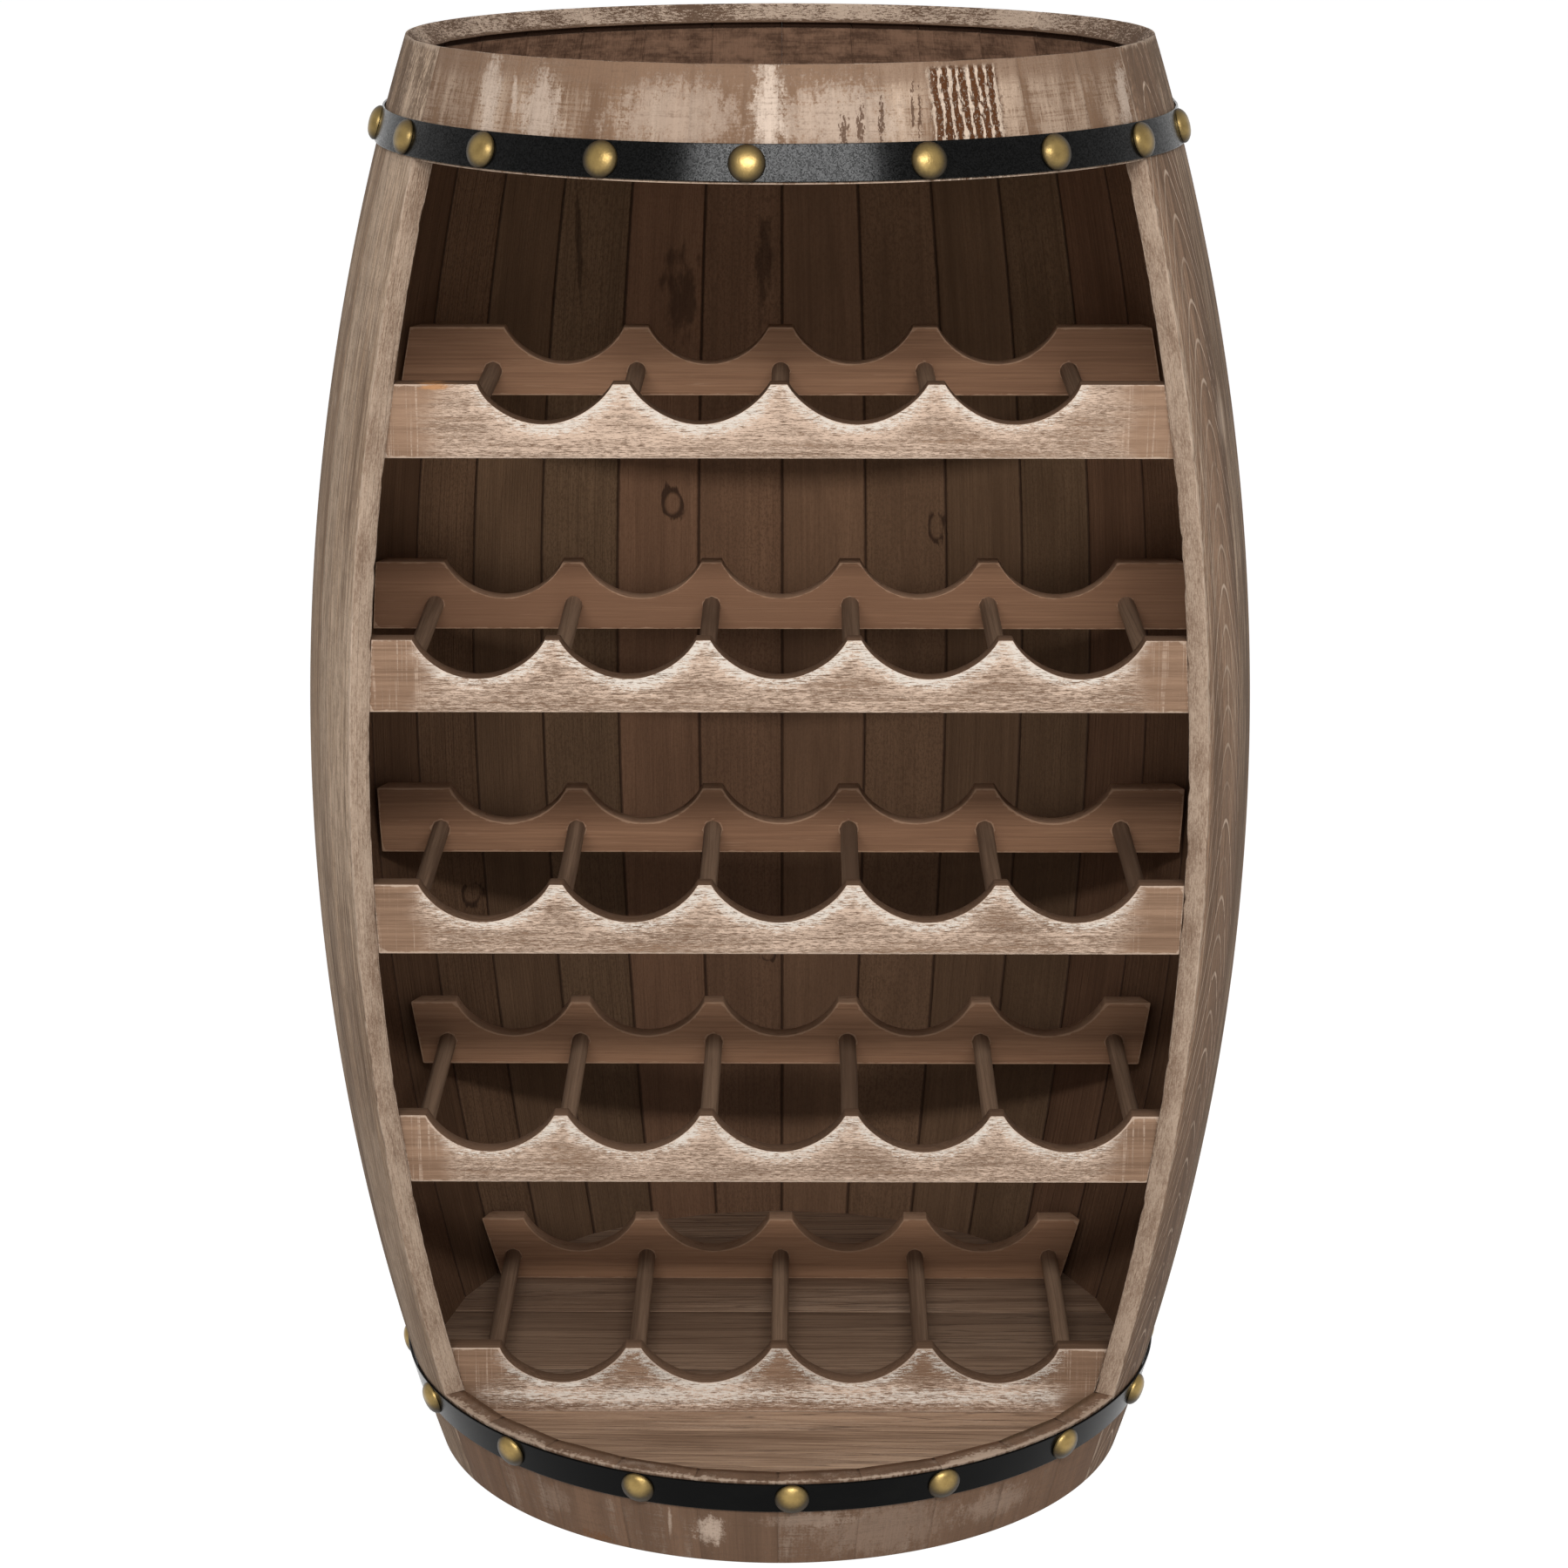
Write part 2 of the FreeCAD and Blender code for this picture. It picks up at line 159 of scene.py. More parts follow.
def joinAll(pieces, name):
    pick(*pieces)
    bpy.ops.object.join()
    return named(bpy.context.object, name)


def nodeCopy(node, name):
    made = named(bpy.data.objects.new(name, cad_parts[node].data.copy()), name)
    made.data.materials.clear()
    scene.collection.objects.link(made)
    openEdit(made)
    bpy.ops.mesh.remove_doubles(threshold=slack)
    selectAll()
    bpy.ops.mesh.dissolve_limited(angle_limit=radians(1.0))  # flat faces lose their triangles
    closeEdit()
    return made


def throwAway(piece):
    bpy.data.meshes.remove(piece.data)  # its object goes with it


def fit(piece, material, node, smooth=32):
    pick(piece)
    bpy.ops.object.shade_smooth_by_angle(angle=radians(smooth))
    piece.data.materials.clear()
    piece.data.materials.append(material)
    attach(piece, "root")
    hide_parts(node)


def clusters(values, gap):
    groups = []
    for value in sorted(values):
        if not groups or value - groups[-1][-1] > gap:
            groups.append([])
        groups[-1].append(value)
    return [(group[0] + group[-1]) / 2 for group in groups]


def setVectors(piece, name, values):
    store = piece.data.attributes.get(name) or piece.data.attributes.new(name, "FLOAT_VECTOR", "POINT")
    store.data.foreach_set("vector", [number for value in values for number in value])


# wood reads four vectors on its points: grain (across, depth and along, from the log's heart),
# finish (seed, slope of the grain, tone), touch (wear, wash, and how far through a stave, more than 1
# in the split under the chime, which is painted dark as shadow, or the white band of the lowest board)
# and seam (distance to a joint or notch, chime of a stave or end of a board, side of the opening)
def paintWood(piece, grain, finish, touch, seam=None):
    setVectors(piece, "grain", grain)
    setVectors(piece, "finish", [finish] * len(grain))
    setVectors(piece, "touch", touch)
    setVectors(piece, "seam", seam or [(1.0, 0.0, 0.0)] * len(grain))


def treeOf(points):
    tree = kdtree.KDTree(len(points))
    for index, point in enumerate(points):
        tree.insert(point, index)
    tree.balance()
    return tree


def edgeWear(piece, reach, wanted, sharpTurn=0.3):
    shape = bmesh.new()
    shape.from_mesh(piece.data)
    sharp = [v.co.copy() for v in shape.verts if wanted(v.co) and any(
        len(e.link_faces) == 2 and e.calc_face_angle(0) > sharpTurn for e in v.link_edges)]
    shape.free()
    tree = treeOf(sharp)
    return [max(0.0, 1 - tree.find(v.co)[2] / reach) for v in piece.data.vertices]


# shader maths on one socket
class Tint:
    def __init__(self, finish, socket):
        self.finish, self.socket = finish, socket

    def math(self, operation, *others):
        return self.finish.node("Math", dict(enumerate((self, *others))), operation=operation)

    def __add__(self, other):
        return self.math("ADD", other)

    def __sub__(self, other):
        return self.math("SUBTRACT", other)

    def __rsub__(self, other):
        return self.finish.node("Math", {0: other, 1: self}, operation="SUBTRACT")

    def __mul__(self, other):
        return self.math("MULTIPLY", other)

    __radd__ = __add__
    __rmul__ = __mul__

    def part(self):
        return self.math("FRACT")

    def size(self):
        return self.math("ABSOLUTE")

    def sway(self, strength):  # a noise swings to both sides of nothing
        return (self - 0.5) * strength

    def ease(self, low, high):  # 0 below low, 1 above high
        return self.finish.node("MapRange", {0: self, 1: low, 2: high, 3: 0.0, 4: 1.0},
                                interpolation_type="SMOOTHSTEP")


class Finish:
    def __init__(self, owner, look=None):
        owner.use_nodes = True
        self.owner, self.tree, self.look = owner, owner.node_tree, look
        self.tree.nodes.clear()

    def node(self, kind, sockets=None, out=0, **settings):
        made = self.tree.nodes.new("ShaderNode" + kind)
        for key, value in settings.items():
            setattr(made, key, value)
        for key, value in (sockets or {}).items():
            if isinstance(value, Tint):
                self.tree.links.new(value.socket, made.inputs[key])
            else:
                made.inputs[key].default_value = value
        if made.outputs:
            return Tint(self, made.outputs[out])

    def split(self, vector):
        first = self.node("SeparateXYZ", {0: vector})
        return [Tint(self, socket) for socket in first.socket.node.outputs]

    def attribute(self, name):
        return self.node("Attribute", out="Vector", attribute_name=name)

    def place(self):
        return self.node("TexCoord", out="Object")

    def vectorMath(self, operation, first, second):
        return self.node("VectorMath", {0: first, 1: second}, operation=operation)

    def noise(self, vector, scale, detail, rough):
        stretched = self.vectorMath("MULTIPLY", vector, scale)
        return self.node("TexNoise", {"Vector": stretched, "Scale": 1.0, "Detail": detail,
                                      "Roughness": rough})

    def mix(self, factor, first, second, blend="MIX"):
        # a word stands for the colour of that name in the settings
        ends = [self.look[tint] if isinstance(tint, str) else tint for tint in (first, second)]
        ends = [tint if isinstance(tint, Tint) else (*tint, 1.0) for tint in ends]
        return self.node("Mix", {0: factor, 6: ends[0], 7: ends[1]}, 2, data_type="RGBA", blend_type=blend)

    def reach(self, place, centre, size):
        away = self.vectorMath("DIVIDE", self.vectorMath("SUBTRACT", place, centre), size)
        return self.node("VectorMath", {0: away}, "Value", operation="LENGTH")

    # a patch whose outline is torn by a noise
    def blot(self, place, centre, size, ragged, low, high, torn=1.6):
        return (1 - self.reach(place, centre, size) + ragged.sway(torn)).ease(low, high)

    def knot(self, place, centre, size, ragged):  # a broken ring
        away = self.reach(place, centre, size) + ragged.sway(0.9)
        return 1 - ((away - 0.75).size() + ragged.sway(1.1)).ease(0.0, 0.26)

    def surface(self, colour, roughness, height, distance, others):
        bump = self.node("Bump", {"Strength": 1.0, "Distance": distance, "Height": height})
        return self.close(self.node("BsdfPrincipled", {
            "Base Color": colour, "Roughness": roughness, "Normal": bump, **others}))

    def close(self, shader, end="OutputMaterial"):
        self.node(end, {"Surface": shader})
        return self.owner


class Wood(Finish):
    # the wood under every finish: heart rings, streaks and fibres in the board's own directions
    def __init__(self, name, look):
        super().__init__(bpy.data.materials.new(name), look)
        grain, finish, touch, seam = (self.attribute(word) for word in ("grain", "finish", "touch", "seam"))
        across, depth, along = self.split(grain)
        self.seed, slope, self.tone = self.split(finish)
        self.wear, self.wash, self.inner = self.split(touch)
        self.joint, self.chime, self.side = self.split(seam)
        drift = self.node("VectorMath", {0: (3.1, 1.7, 2.3), "Scale": self.seed}, operation="SCALE")
        self.spot = self.vectorMath("ADD", grain, drift)
        waver = self.figure(22, 5, 2, 0.5) - 0.5
        heart = (across * across + depth * depth).math("SQRT") + slope * along + waver * look["waver"]
        rings = heart.math("DIVIDE", look["ring"])
        turn = rings.part()
        self.ringStrength = self.node("TexWhiteNoise", {"W": rings - turn}, noise_dimensions="1D")
        self.line = turn.ease(0.62, 0.9) * (1 - turn.ease(0.93, 1.0))
        self.thread = turn.ease(0.84, 0.92) * (1 - turn.ease(0.95, 1.0))
        self.streak = self.figure(120, 2)
        self.fibre = self.figure(900, 14)
        self.hair = self.figure(2400, 60, 2, 0.6)
        self.cloud = self.figure(14, 5, 3, 0.55)
        self.fleck = self.figure(420, 130, 3, 0.65)

    # a noise in the grain's own directions
    def figure(self, across, along, detail=3, rough=0.6):
        return self.noise(self.spot, (across, across, along), detail, rough)

    def lay(self, factor, tint, blend="MIX"):  # a coat over the colour so far
        self.colour = self.mix(factor, self.colour, tint, blend)

    # each mark has a centre and a size, and some have a strength of their own
    def mark(self, tint, strength, kind, marks, place, *shape):
        for centre, size, *own in marks:
            self.lay(kind(place, centre, size, *shape) * (own or [strength])[0], tint)

    def stain(self, ringDepth, streaky=1.8, fibrous=1.1, dark="dark", mid="mid"):
        body = (self.streak.sway(streaky) + self.fibre.sway(fibrous)
                + self.cloud.sway(0.9) + self.tone)
        self.colour = self.mix(body.ease(-0.45, 0.45), dark, mid)
        self.lay(self.line * ringDepth, dark)
        self.lay(self.hair.ease(0.52, 0.75) * 0.4, dark)

    def matt(self, height, depth=0.0006, roughness=None):
        roughness = roughness or 0.62 + self.fibre * 0.2
        return self.surface(self.colour, roughness, height, depth, {"Specular IOR Level": 0.12})


print("helpers ready")

staveWood = {
    "dark": (0.15, 0.093, 0.058), "mid": (0.5, 0.34, 0.225), "wash": (0.76, 0.58, 0.435),
    "deep": (0.08, 0.049, 0.031), "side": (0.25, 0.163, 0.11), "sidePale": (0.5, 0.372, 0.277),
    "innerDark": (0.15, 0.076, 0.042), "innerMid": (0.34, 0.179, 0.102),
    "innerDeep": (0.035, 0.017, 0.01), "greener": (0.86, 1.0, 0.98),
    "wall": (0.245, 0.145, 0.094), "wallDark": (0.1, 0.056, 0.036), "wallFoot": 0.761,
    "chime": (0.56, 0.425, 0.325), "chimeBrown": (0.15, 0.091, 0.058), "worn": (0.6, 0.455, 0.345),
    "ring": 0.003, "waver": 0.0035, "arches": 0.1, "lowShade": 0.3, "filler": (0.8, 0.62, 0.48),
    "crown": (0.757, 0.766),  # where the wood over the hoop begins
    # each mark: centre, size
    "knots": [
        ((-0.0675, 0.215, 0.4946), (0.0075, 0.02, 0.011)),
        ((0.0949, 0.2065, 0.4818), (0.006, 0.02, 0.012)),
        ((-0.189, 0.1313, 0.2693), (0.012, 0.012, 0.009)),
        ((-0.0087, 0.213, 0.2034), (0.006, 0.02, 0.006)),
        ((-0.0257, 0.172, 0.7738), (0.011, 0.03, 0.0045)),
    ],
    "smears": [
        ((-0.061, 0.201, 0.625), (0.016, 0.05, 0.05)),
        ((-0.011, 0.2046, 0.645), (0.008, 0.05, 0.06)),
        ((-0.12, 0.17, 0.66), (0.003, 0.05, 0.07)),
    ],
    "rubs": [
        ((0.2337, -0.0977, 0.6047), (0.012, 0.012, 0.024)),
        ((-0.2232, -0.0672, 0.6969), (0.004, 0.004, 0.006)),
        ((-0.2272, -0.0815, 0.6643), (0.003, 0.003, 0.006)),
        ((-0.2363, -0.0851, 0.6113), (0.004, 0.004, 0.009)),
    ],
}


# inner side, rim and worn edges are the same on long and short staves
def closeStave(wood, height, place):
    look, outside, level = wood.look, wood.colour, wood.split(place)[2]
    wood.stain(0.2, 0.5, 0.4, "innerDark", "innerMid")
    # a stippled nap, rougher on some staves, and a greener brown on others
    speckle = wood.figure(800, 480, 3, 0.7)
    rough = (wood.seed * 0.37).part().ease(0.3, 0.7)
    wood.lay(speckle.ease(0.46, 0.6) * (rough * 0.4 + 0.3), "innerDark")
    wood.lay((wood.seed * 0.61).part(), "greener", "MULTIPLY")
    ragged = wood.figure(160, 60)
    wood.mark("innerDeep", 0.6, wood.blot, look["smears"], place, ragged, 0.3, 0.7)
    wood.mark("innerDeep", 0.85, wood.knot, look["knots"], place, ragged)
    # the wall above the head is brushed round the barrel
    brush = wood.noise(place, (34, 34, 420), 5, 0.75)
    smudge = wood.noise(place, (55, 55, 90), 4, 0.65)
    brushed = (brush * 0.6 + smudge * 0.9 + speckle * 0.3).ease(0.72, 1.06)
    wall = wood.mix(brushed, "wallDark", "wall")
    aboveHead = level.ease(look["wallFoot"], look["wallFoot"] + 0.001)
    wood.lay(aboveHead, wall)
    # painted shade: the inside is painted darker towards the bottom
    wood.lay((1 - level.ease(0.3, 0.7)) * 0.52, "innerDeep")
    # painted shadow: the split under the chime's lip is painted near black
    wood.lay(wood.inner.ease(1.2, 1.45), "innerDeep")
    seamLine = 1 - (wood.joint + wood.fleck.sway(0.0009)).ease(0.0004, 0.0014)
    wood.lay(seamLine * (0.75 - aboveHead * 0.7), "innerDeep")
    outside = wood.mix(seamLine * 0.1, outside, "deep")
    wood.colour = wood.mix(wood.inner.ease(0.62, 0.9), outside, wood.colour)
    # beside the opening the sawn sides are paler and mottled
    mottle = wood.figure(1300, 260)
    drift = wood.figure(90, 34)
    grit = wood.figure(1500, 900, 2, 0.6)
    patchy = (mottle * 0.8 + drift * 0.9 + grit * 0.6).ease(0.86, 1.4)
    sawn = wood.mix(patchy, "side", "sidePale")
    wood.lay(wood.side.ease(0.5, 0.95) * 0.94, sawn)
    onArris = ((wood.inner - 0.5).size() + wood.fleck.sway(0.12)).ease(0.42, 0.48)
    worn = wood.wear * (1 - wood.side * (1 - onArris * 0.8))
    rubbed = (worn + wood.fleck.sway(1.6) + wood.cloud.sway(1.2)).ease(0.6, 1.0)
    wood.lay(rubbed * 0.7, "worn")
    # the chime is rubbed pale, with brown left in its flecks
    chip = wood.noise(wood.spot, (260, 900, 600), 4, 0.72)
    bare = wood.noise(place, (14, 14, 14), 3, 0.6)
    chipped = (chip + bare.sway(0.9) + grit.sway(0.5)).ease(0.42, 0.58)
    rim = wood.mix(chipped, "chime", "chimeBrown")
    rim = wood.mix((wood.inner + chip.sway(0.6)).ease(0.78, 0.95), rim, "chimeBrown")
    wood.lay(wood.chime.ease(0.4, 0.8), rim)
    height = height + rubbed * 0.3 + mottle * wood.side * 0.5 - chip * wood.chime * 0.9
    height = height - seamLine * (wood.inner * 0.5 + 0.1)
    return wood.matt(height)


def longStaveFinish(name, look):
    wood = Wood(name, look)
    wood.stain(0.25)
    # dark veins and a dry-brushed wash, both thin and along the grain
    vein = wood.figure(330, 3, 4, 0.7)
    wood.lay(vein.ease(0.54, 0.64) * 0.5, "deep")
    stroke = wood.figure(700, 16, 4, 0.68)
    nap = wood.figure(1600, 420, 3, 0.65)
    brushed = (stroke + nap * 0.35 + wood.cloud * 0.7 + wood.wash * 0.35).ease(1.1, 1.36)
    wood.lay(brushed * 0.6, "wash")
    dry = wood.figure(520, 60, 4, 0.75) * 0.65 + nap * 0.35
    wood.lay(dry.ease(0.48, 0.56) * 0.5, "dark")
    # marks of the turning, across the grain
    turned = wood.figure(14, 1500, 2, 0.6)
    wood.lay(turned.ease(0.52, 0.75) * 0.14, "dark")
    # pale filler left in the rings of the flat-sawn stave
    filled = (wood.thread * (wood.fleck + wood.cloud.sway(0.8)).ease(0.3, 0.48)
              * (wood.ringStrength * 0.7 + 0.3))
    wood.lay(filled * look["arches"], "filler")
    # over the hoop it is mottled like the ring
    place = wood.place()
    level = wood.split(place)[2]
    # painted shade: darker towards the foot of the stave
    wood.lay((1 - level.ease(0.05, 0.45)) * look["lowShade"], "dark")
    crown = level.ease(*look["crown"])
    patch = wood.figure(90, 30) + wood.figure(600, 300, 4, 0.7)
    wood.lay(crown * (1 - patch.ease(0.9, 1.12)) * 0.75, "dark")
    ragged = wood.figure(700, 60, 4, 0.68)
    wood.mark("worn", 0.6, wood.blot, look["rubs"], place, ragged, 0.1, 0.9)
    height = (wood.fibre * 0.5 + wood.hair * 0.25 - wood.line * 0.25
              + brushed * 0.3 + turned * 0.2 - vein * 0.3)
    return closeStave(wood, height, place)


stave = {
    "lengthSteps": 80, "widthSteps": 10, "spare": 0.006,  # sawn off each end of the blank
    "jointGap": 0.00001, "outerJoint": 0.0002, "innerJoint": 0.0006, "opening": 0.0011,  # rounded edges
    "roundedTop": 0.757, "sharpTurn": 1.0, "openSharpTurn": 0.7,
    "rim": 0.0015, "chimeRun": 0.021, "chimeDrop": 0.024, "chimeFoot": 0.7895, "chimeSlack": 0.0008,
    # under the chime's lip: a split, then the wall stands back a little, down into the head's groove
    "levels": (0.7899, 0.7895, 0.7867, 0.7862, 0.76, 0.759),
    "split": (0.7867, 0.7895, 0.0036), "wall": (0.76, 0.7862, 0.001),  # low, high, how far back
    "innerShare": 0.6,  # of the thickness, beyond which a point is on the inner side
    "openFace": 0.965, "openEdge": 0.96, "openNicks": 0.93, "openWear": 0.9,  # of half the stave's width
    "nickSizes": (130, 420), "fineNicks": 0.6, "nickFloor": 0.1, "nickBite": 0.5, "nickDrop": 0.0008,
    "lipNicks": 0.12, "edgeNicks": 0.5, "footNicks": 0.15, "wornLip": 0.002, "longWear": 0.0035,
    "shortWear": 0.004, "outerSkin": 0.003, "footLip": 0.0012,
}


def makeStaveBlank():
    # a line across the thickness is spun up and down the bow, then round the barrel's axis
    blank = add("staveBlank", bpy.ops.mesh.primitive_plane_add, size=thick,
                location=(turnedRadius(half) - thick / 2, 0, half))
    settle(blank)
    openEdit(blank)
    selectWhere(blank, "verts", lambda v: v.co.y > 0)
    bpy.ops.mesh.delete(type="VERT")
    selectAll()
    bpy.ops.transform.translate(value=(0, thick / 2, 0))
    sweep = asin((half + stave["spare"]) / (bowRadius - thick))
    for way in (1, -1):
        selectWhere(blank, "verts", lambda v: abs(v.co.z - half) < weld)
        bpy.ops.mesh.spin(steps=stave["lengthSteps"], angle=sweep * way,
                          center=(bowCentre, 0, half), axis=(0, 1, 0))
    selectAll()
    bpy.ops.mesh.remove_doubles(threshold=weld)
    for level, outer in ((0.0, False), (barrelTop, True)):
        saw((0, 0, level), clear_outer=outer, clear_inner=not outer)
    selectAll()
    gap = stave["jointGap"] / barrel["bellyRadius"]
    bpy.ops.mesh.spin(steps=stave["widthSteps"], angle=staveAngle - gap,
                      center=(0, 0, 0), axis=(0, 0, 1))
    closeEdit()
    cleanUp(blank)
    # centred on +X, and planed flat on the inner side
    angles = [atan2(v.co.y, v.co.x) for v in blank.data.vertices]
    middle = (max(angles) + min(angles)) / 2
    blank.data.transform(Matrix.Rotation(-middle, 4, "Z"))
    edge = cos(staveAngle / 2)
    for v in blank.data.vertices:
        away = hypot(v.co.x, v.co.y)
        if hypot(away - bowCentre, v.co.z - half) < bowRadius - barrel["turnedUnder"] - thick / 2:
            v.co.x = away * edge
    return blank


def sideOf(point):
    return atan2(point.y, point.x) / (staveAngle / 2)


def isInner(point):
    return point.x < (turnedRadius(point.z) - thick * stave["innerShare"]) * cos(staveAngle / 2)


def onChime(point):
    lean = (point.x - turnedRadius(barrelTop) + stave["rim"]) * stave["chimeDrop"]
    rest = (barrelTop - point.z) * stave["chimeRun"]
    onSlope = abs(lean + rest) < stave["chimeSlack"] * stave["chimeDrop"]
    return point.z > stave["chimeFoot"] and onSlope


def cutChime(piece):
    # the upper end slopes inwards from a thin rim, and the wall under its lip stands back
    drop, run = stave["chimeDrop"], stave["chimeRun"]
    rimEdge = (turnedRadius(barrelTop) - stave["rim"], 0, barrelTop)
    slope = Vector((-drop, 0, run)).normalized()
    saw(rimEdge, slope, use_fill=True, clear_outer=True, threshold=weld)
    for level in stave["levels"]:
        saw((0, 0, level))
    for low, high, back in (stave["split"], stave["wall"]):
        selectWhere(piece, "verts", lambda v: low - slack < v.co.z < high + slack and isInner(v.co))
        bpy.ops.transform.translate(value=(back, 0, 0))


def cutStave(blank, name, low=None, high=None, openSide=0):
    made = copyOf(blank, name)
    openEdit(made)
    for level, outer in ((low, False), (high, True)):
        if level is not None:
            saw((0, 0, level), use_fill=True, clear_outer=outer, clear_inner=not outer)
    if high is None:
        cutChime(made)
    if openSide:  # the edges beside the opening are rounded further
        selectWhere(made, "edges", lambda e: e.calc_face_angle(0) > stave["openSharpTurn"]
                    and all(sideOf(v.co) * openSide > stave["openEdge"]
                            and v.co.z < barrel["topRingFoot"] for v in e.verts))
        bpy.ops.mesh.bevel(offset=stave["opening"], segments=3, affect="EDGES")
    for inner in (True, False):
        selectWhere(made, "edges", lambda e: e.calc_face_angle(0) > stave["sharpTurn"]
                    and all(isInner(v.co) == inner and v.co.z < stave["roundedTop"] for v in e.verts))
        bpy.ops.mesh.bevel(offset=stave["innerJoint" if inner else "outerJoint"], segments=2,
                           affect="EDGES")
    closeEdit()
    return made


def wornStave(piece, turn, seed, nicks):
    # seeded nicks: points near the wanted edges are pushed in towards the wood's middle
    rolls = random.Random(seed)
    shift = Vector([rolls.uniform(-40, 40) for _ in range(3)])
    for v in piece.data.vertices:
        near = nicks(v.co)
        if near > 0:
            coarse, fine = (clouds.noise(v.co * size + shift) for size in stave["nickSizes"])
            bite = coarse + stave["fineNicks"] * fine
            deep = max(0.0, bite - stave["nickFloor"]) * near
            away = hypot(v.co.x, v.co.y)
            middle = turnedRadius(min(v.co.z, barrelTop)) - thick / 2
            push = (middle - away) / max(away, weld) * min(1.0, deep * stave["nickBite"])
            v.co.x += v.co.x * push
            v.co.y += v.co.y * push
            v.co.z -= deep * stave["nickDrop"]
    piece.data.transform(Matrix.Translation(barrelAxis) @ Matrix.Rotation(turn, 4, "Z"))


def grainOfStave(piece, turn, seed, heart, slope, tone, wash, wear, openSide=0):
    grain, touch, seam = [], [], []
    splitLow, splitHigh = stave["split"][:2]
    for v, rubbed in zip(piece.data.vertices, wear):
        x, y = v.co.x - barrelAxis.x, v.co.y - barrelAxis.y
        away = hypot(x, y)
        turnBy = (atan2(y, x) - turn + pi) % (2 * pi) - pi
        local = Vector((away * cos(turnBy), away * sin(turnBy), v.co.z))
        depth = turnedRadius(min(max(v.co.z, 0), barrelTop)) - away
        grain.append((turnBy * away - heart[0], depth + heart[1], v.co.z))
        # points in the split under the chime are flagged for its painted shadow
        inSplit = depth > thick * stave["innerShare"] and splitLow - slack < v.co.z < splitHigh + slack
        touch.append((rubbed, wash, 1.5 if inSplit else min(1.0, max(0.0, depth / thick))))
        toJoint = (staveAngle / 2 - abs(turnBy)) * away
        beside = openSide and turnBy * openSide > staveAngle / 2 * stave["openFace"]
        seam.append((max(0.0, toJoint), float(onChime(local)), float(beside)))
    paintWood(piece, grain, (seed, slope, tone), touch, seam)


def lipNicks(co):
    return stave["lipNicks"] if onChime(co) else 0.0


staveBlank = makeStaveBlank()
masterStaves = {0: cutStave(staveBlank, "longStave"), -1: cutStave(staveBlank, "rightStave", openSide=-1),
                1: cutStave(staveBlank, "leftStave", openSide=1)}
staveStain = longStaveFinish("staveStain", staveWood)
flatStain = longStaveFinish("flatSawnStain", {
    **staveWood, "ring": 0.0058, "waver": 0.0042, "arches": 0.85, "lowShade": 0.0,
    "mid": (0.41, 0.258, 0.168), "dark": (0.155, 0.096, 0.062)})

rolls = random.Random(7)


def swing(size):
    return rolls.uniform(-size, size)


firstAngle = -pi / 2 + staveAngle * (barrel["staves"] - barrel["longStaves"] + 1) / 2
for number in range(1, barrel["longStaves"] + 1):
    turn = firstAngle + (number - 1) * staveAngle
    side = {1: -1, barrel["longStaves"]: 1}.get(number, 0)
    made = copyOf(masterStaves[side], f"barrelStave{number:02d}")

    def nicks(co):
        byOpening = side and sideOf(co) * side > stave["openNicks"]
        return max(lipNicks(co), stave["edgeNicks"] if byOpening else 0.0)

    wornStave(made, turn, number, nicks)

    def wornEdge(co):
        local = Matrix.Rotation(-turn, 4, "Z") @ (co - barrelAxis)
        onLip = co.z > barrelTop - stave["wornLip"]
        return onLip or (side and sideOf(local) * side > stave["openWear"])

    heart, slope = (swing(0.07), rolls.uniform(0.05, 0.16)), swing(0.02)
    tone, wash = swing(0.12), rolls.uniform(0.25, 0.6)
    if number == 1:  # flat-sawn: its rings stand as arches
        heart, slope, wash, tone = (0.001, 0.01), 0.27, 0.1, 0.0
    if number == barrel["longStaves"]:
        heart, slope, wash, tone = (0.05, 0.12), 0.004, 0.55, 0.1
    wear = edgeWear(made, stave["longWear"], wornEdge)
    grainOfStave(made, turn, number * 1.37, heart, slope, tone, wash, wear, side)
    fit(made, flatStain if number == 1 else staveStain, f"stave_{number:02d}")
print("long staves bowed and worn")

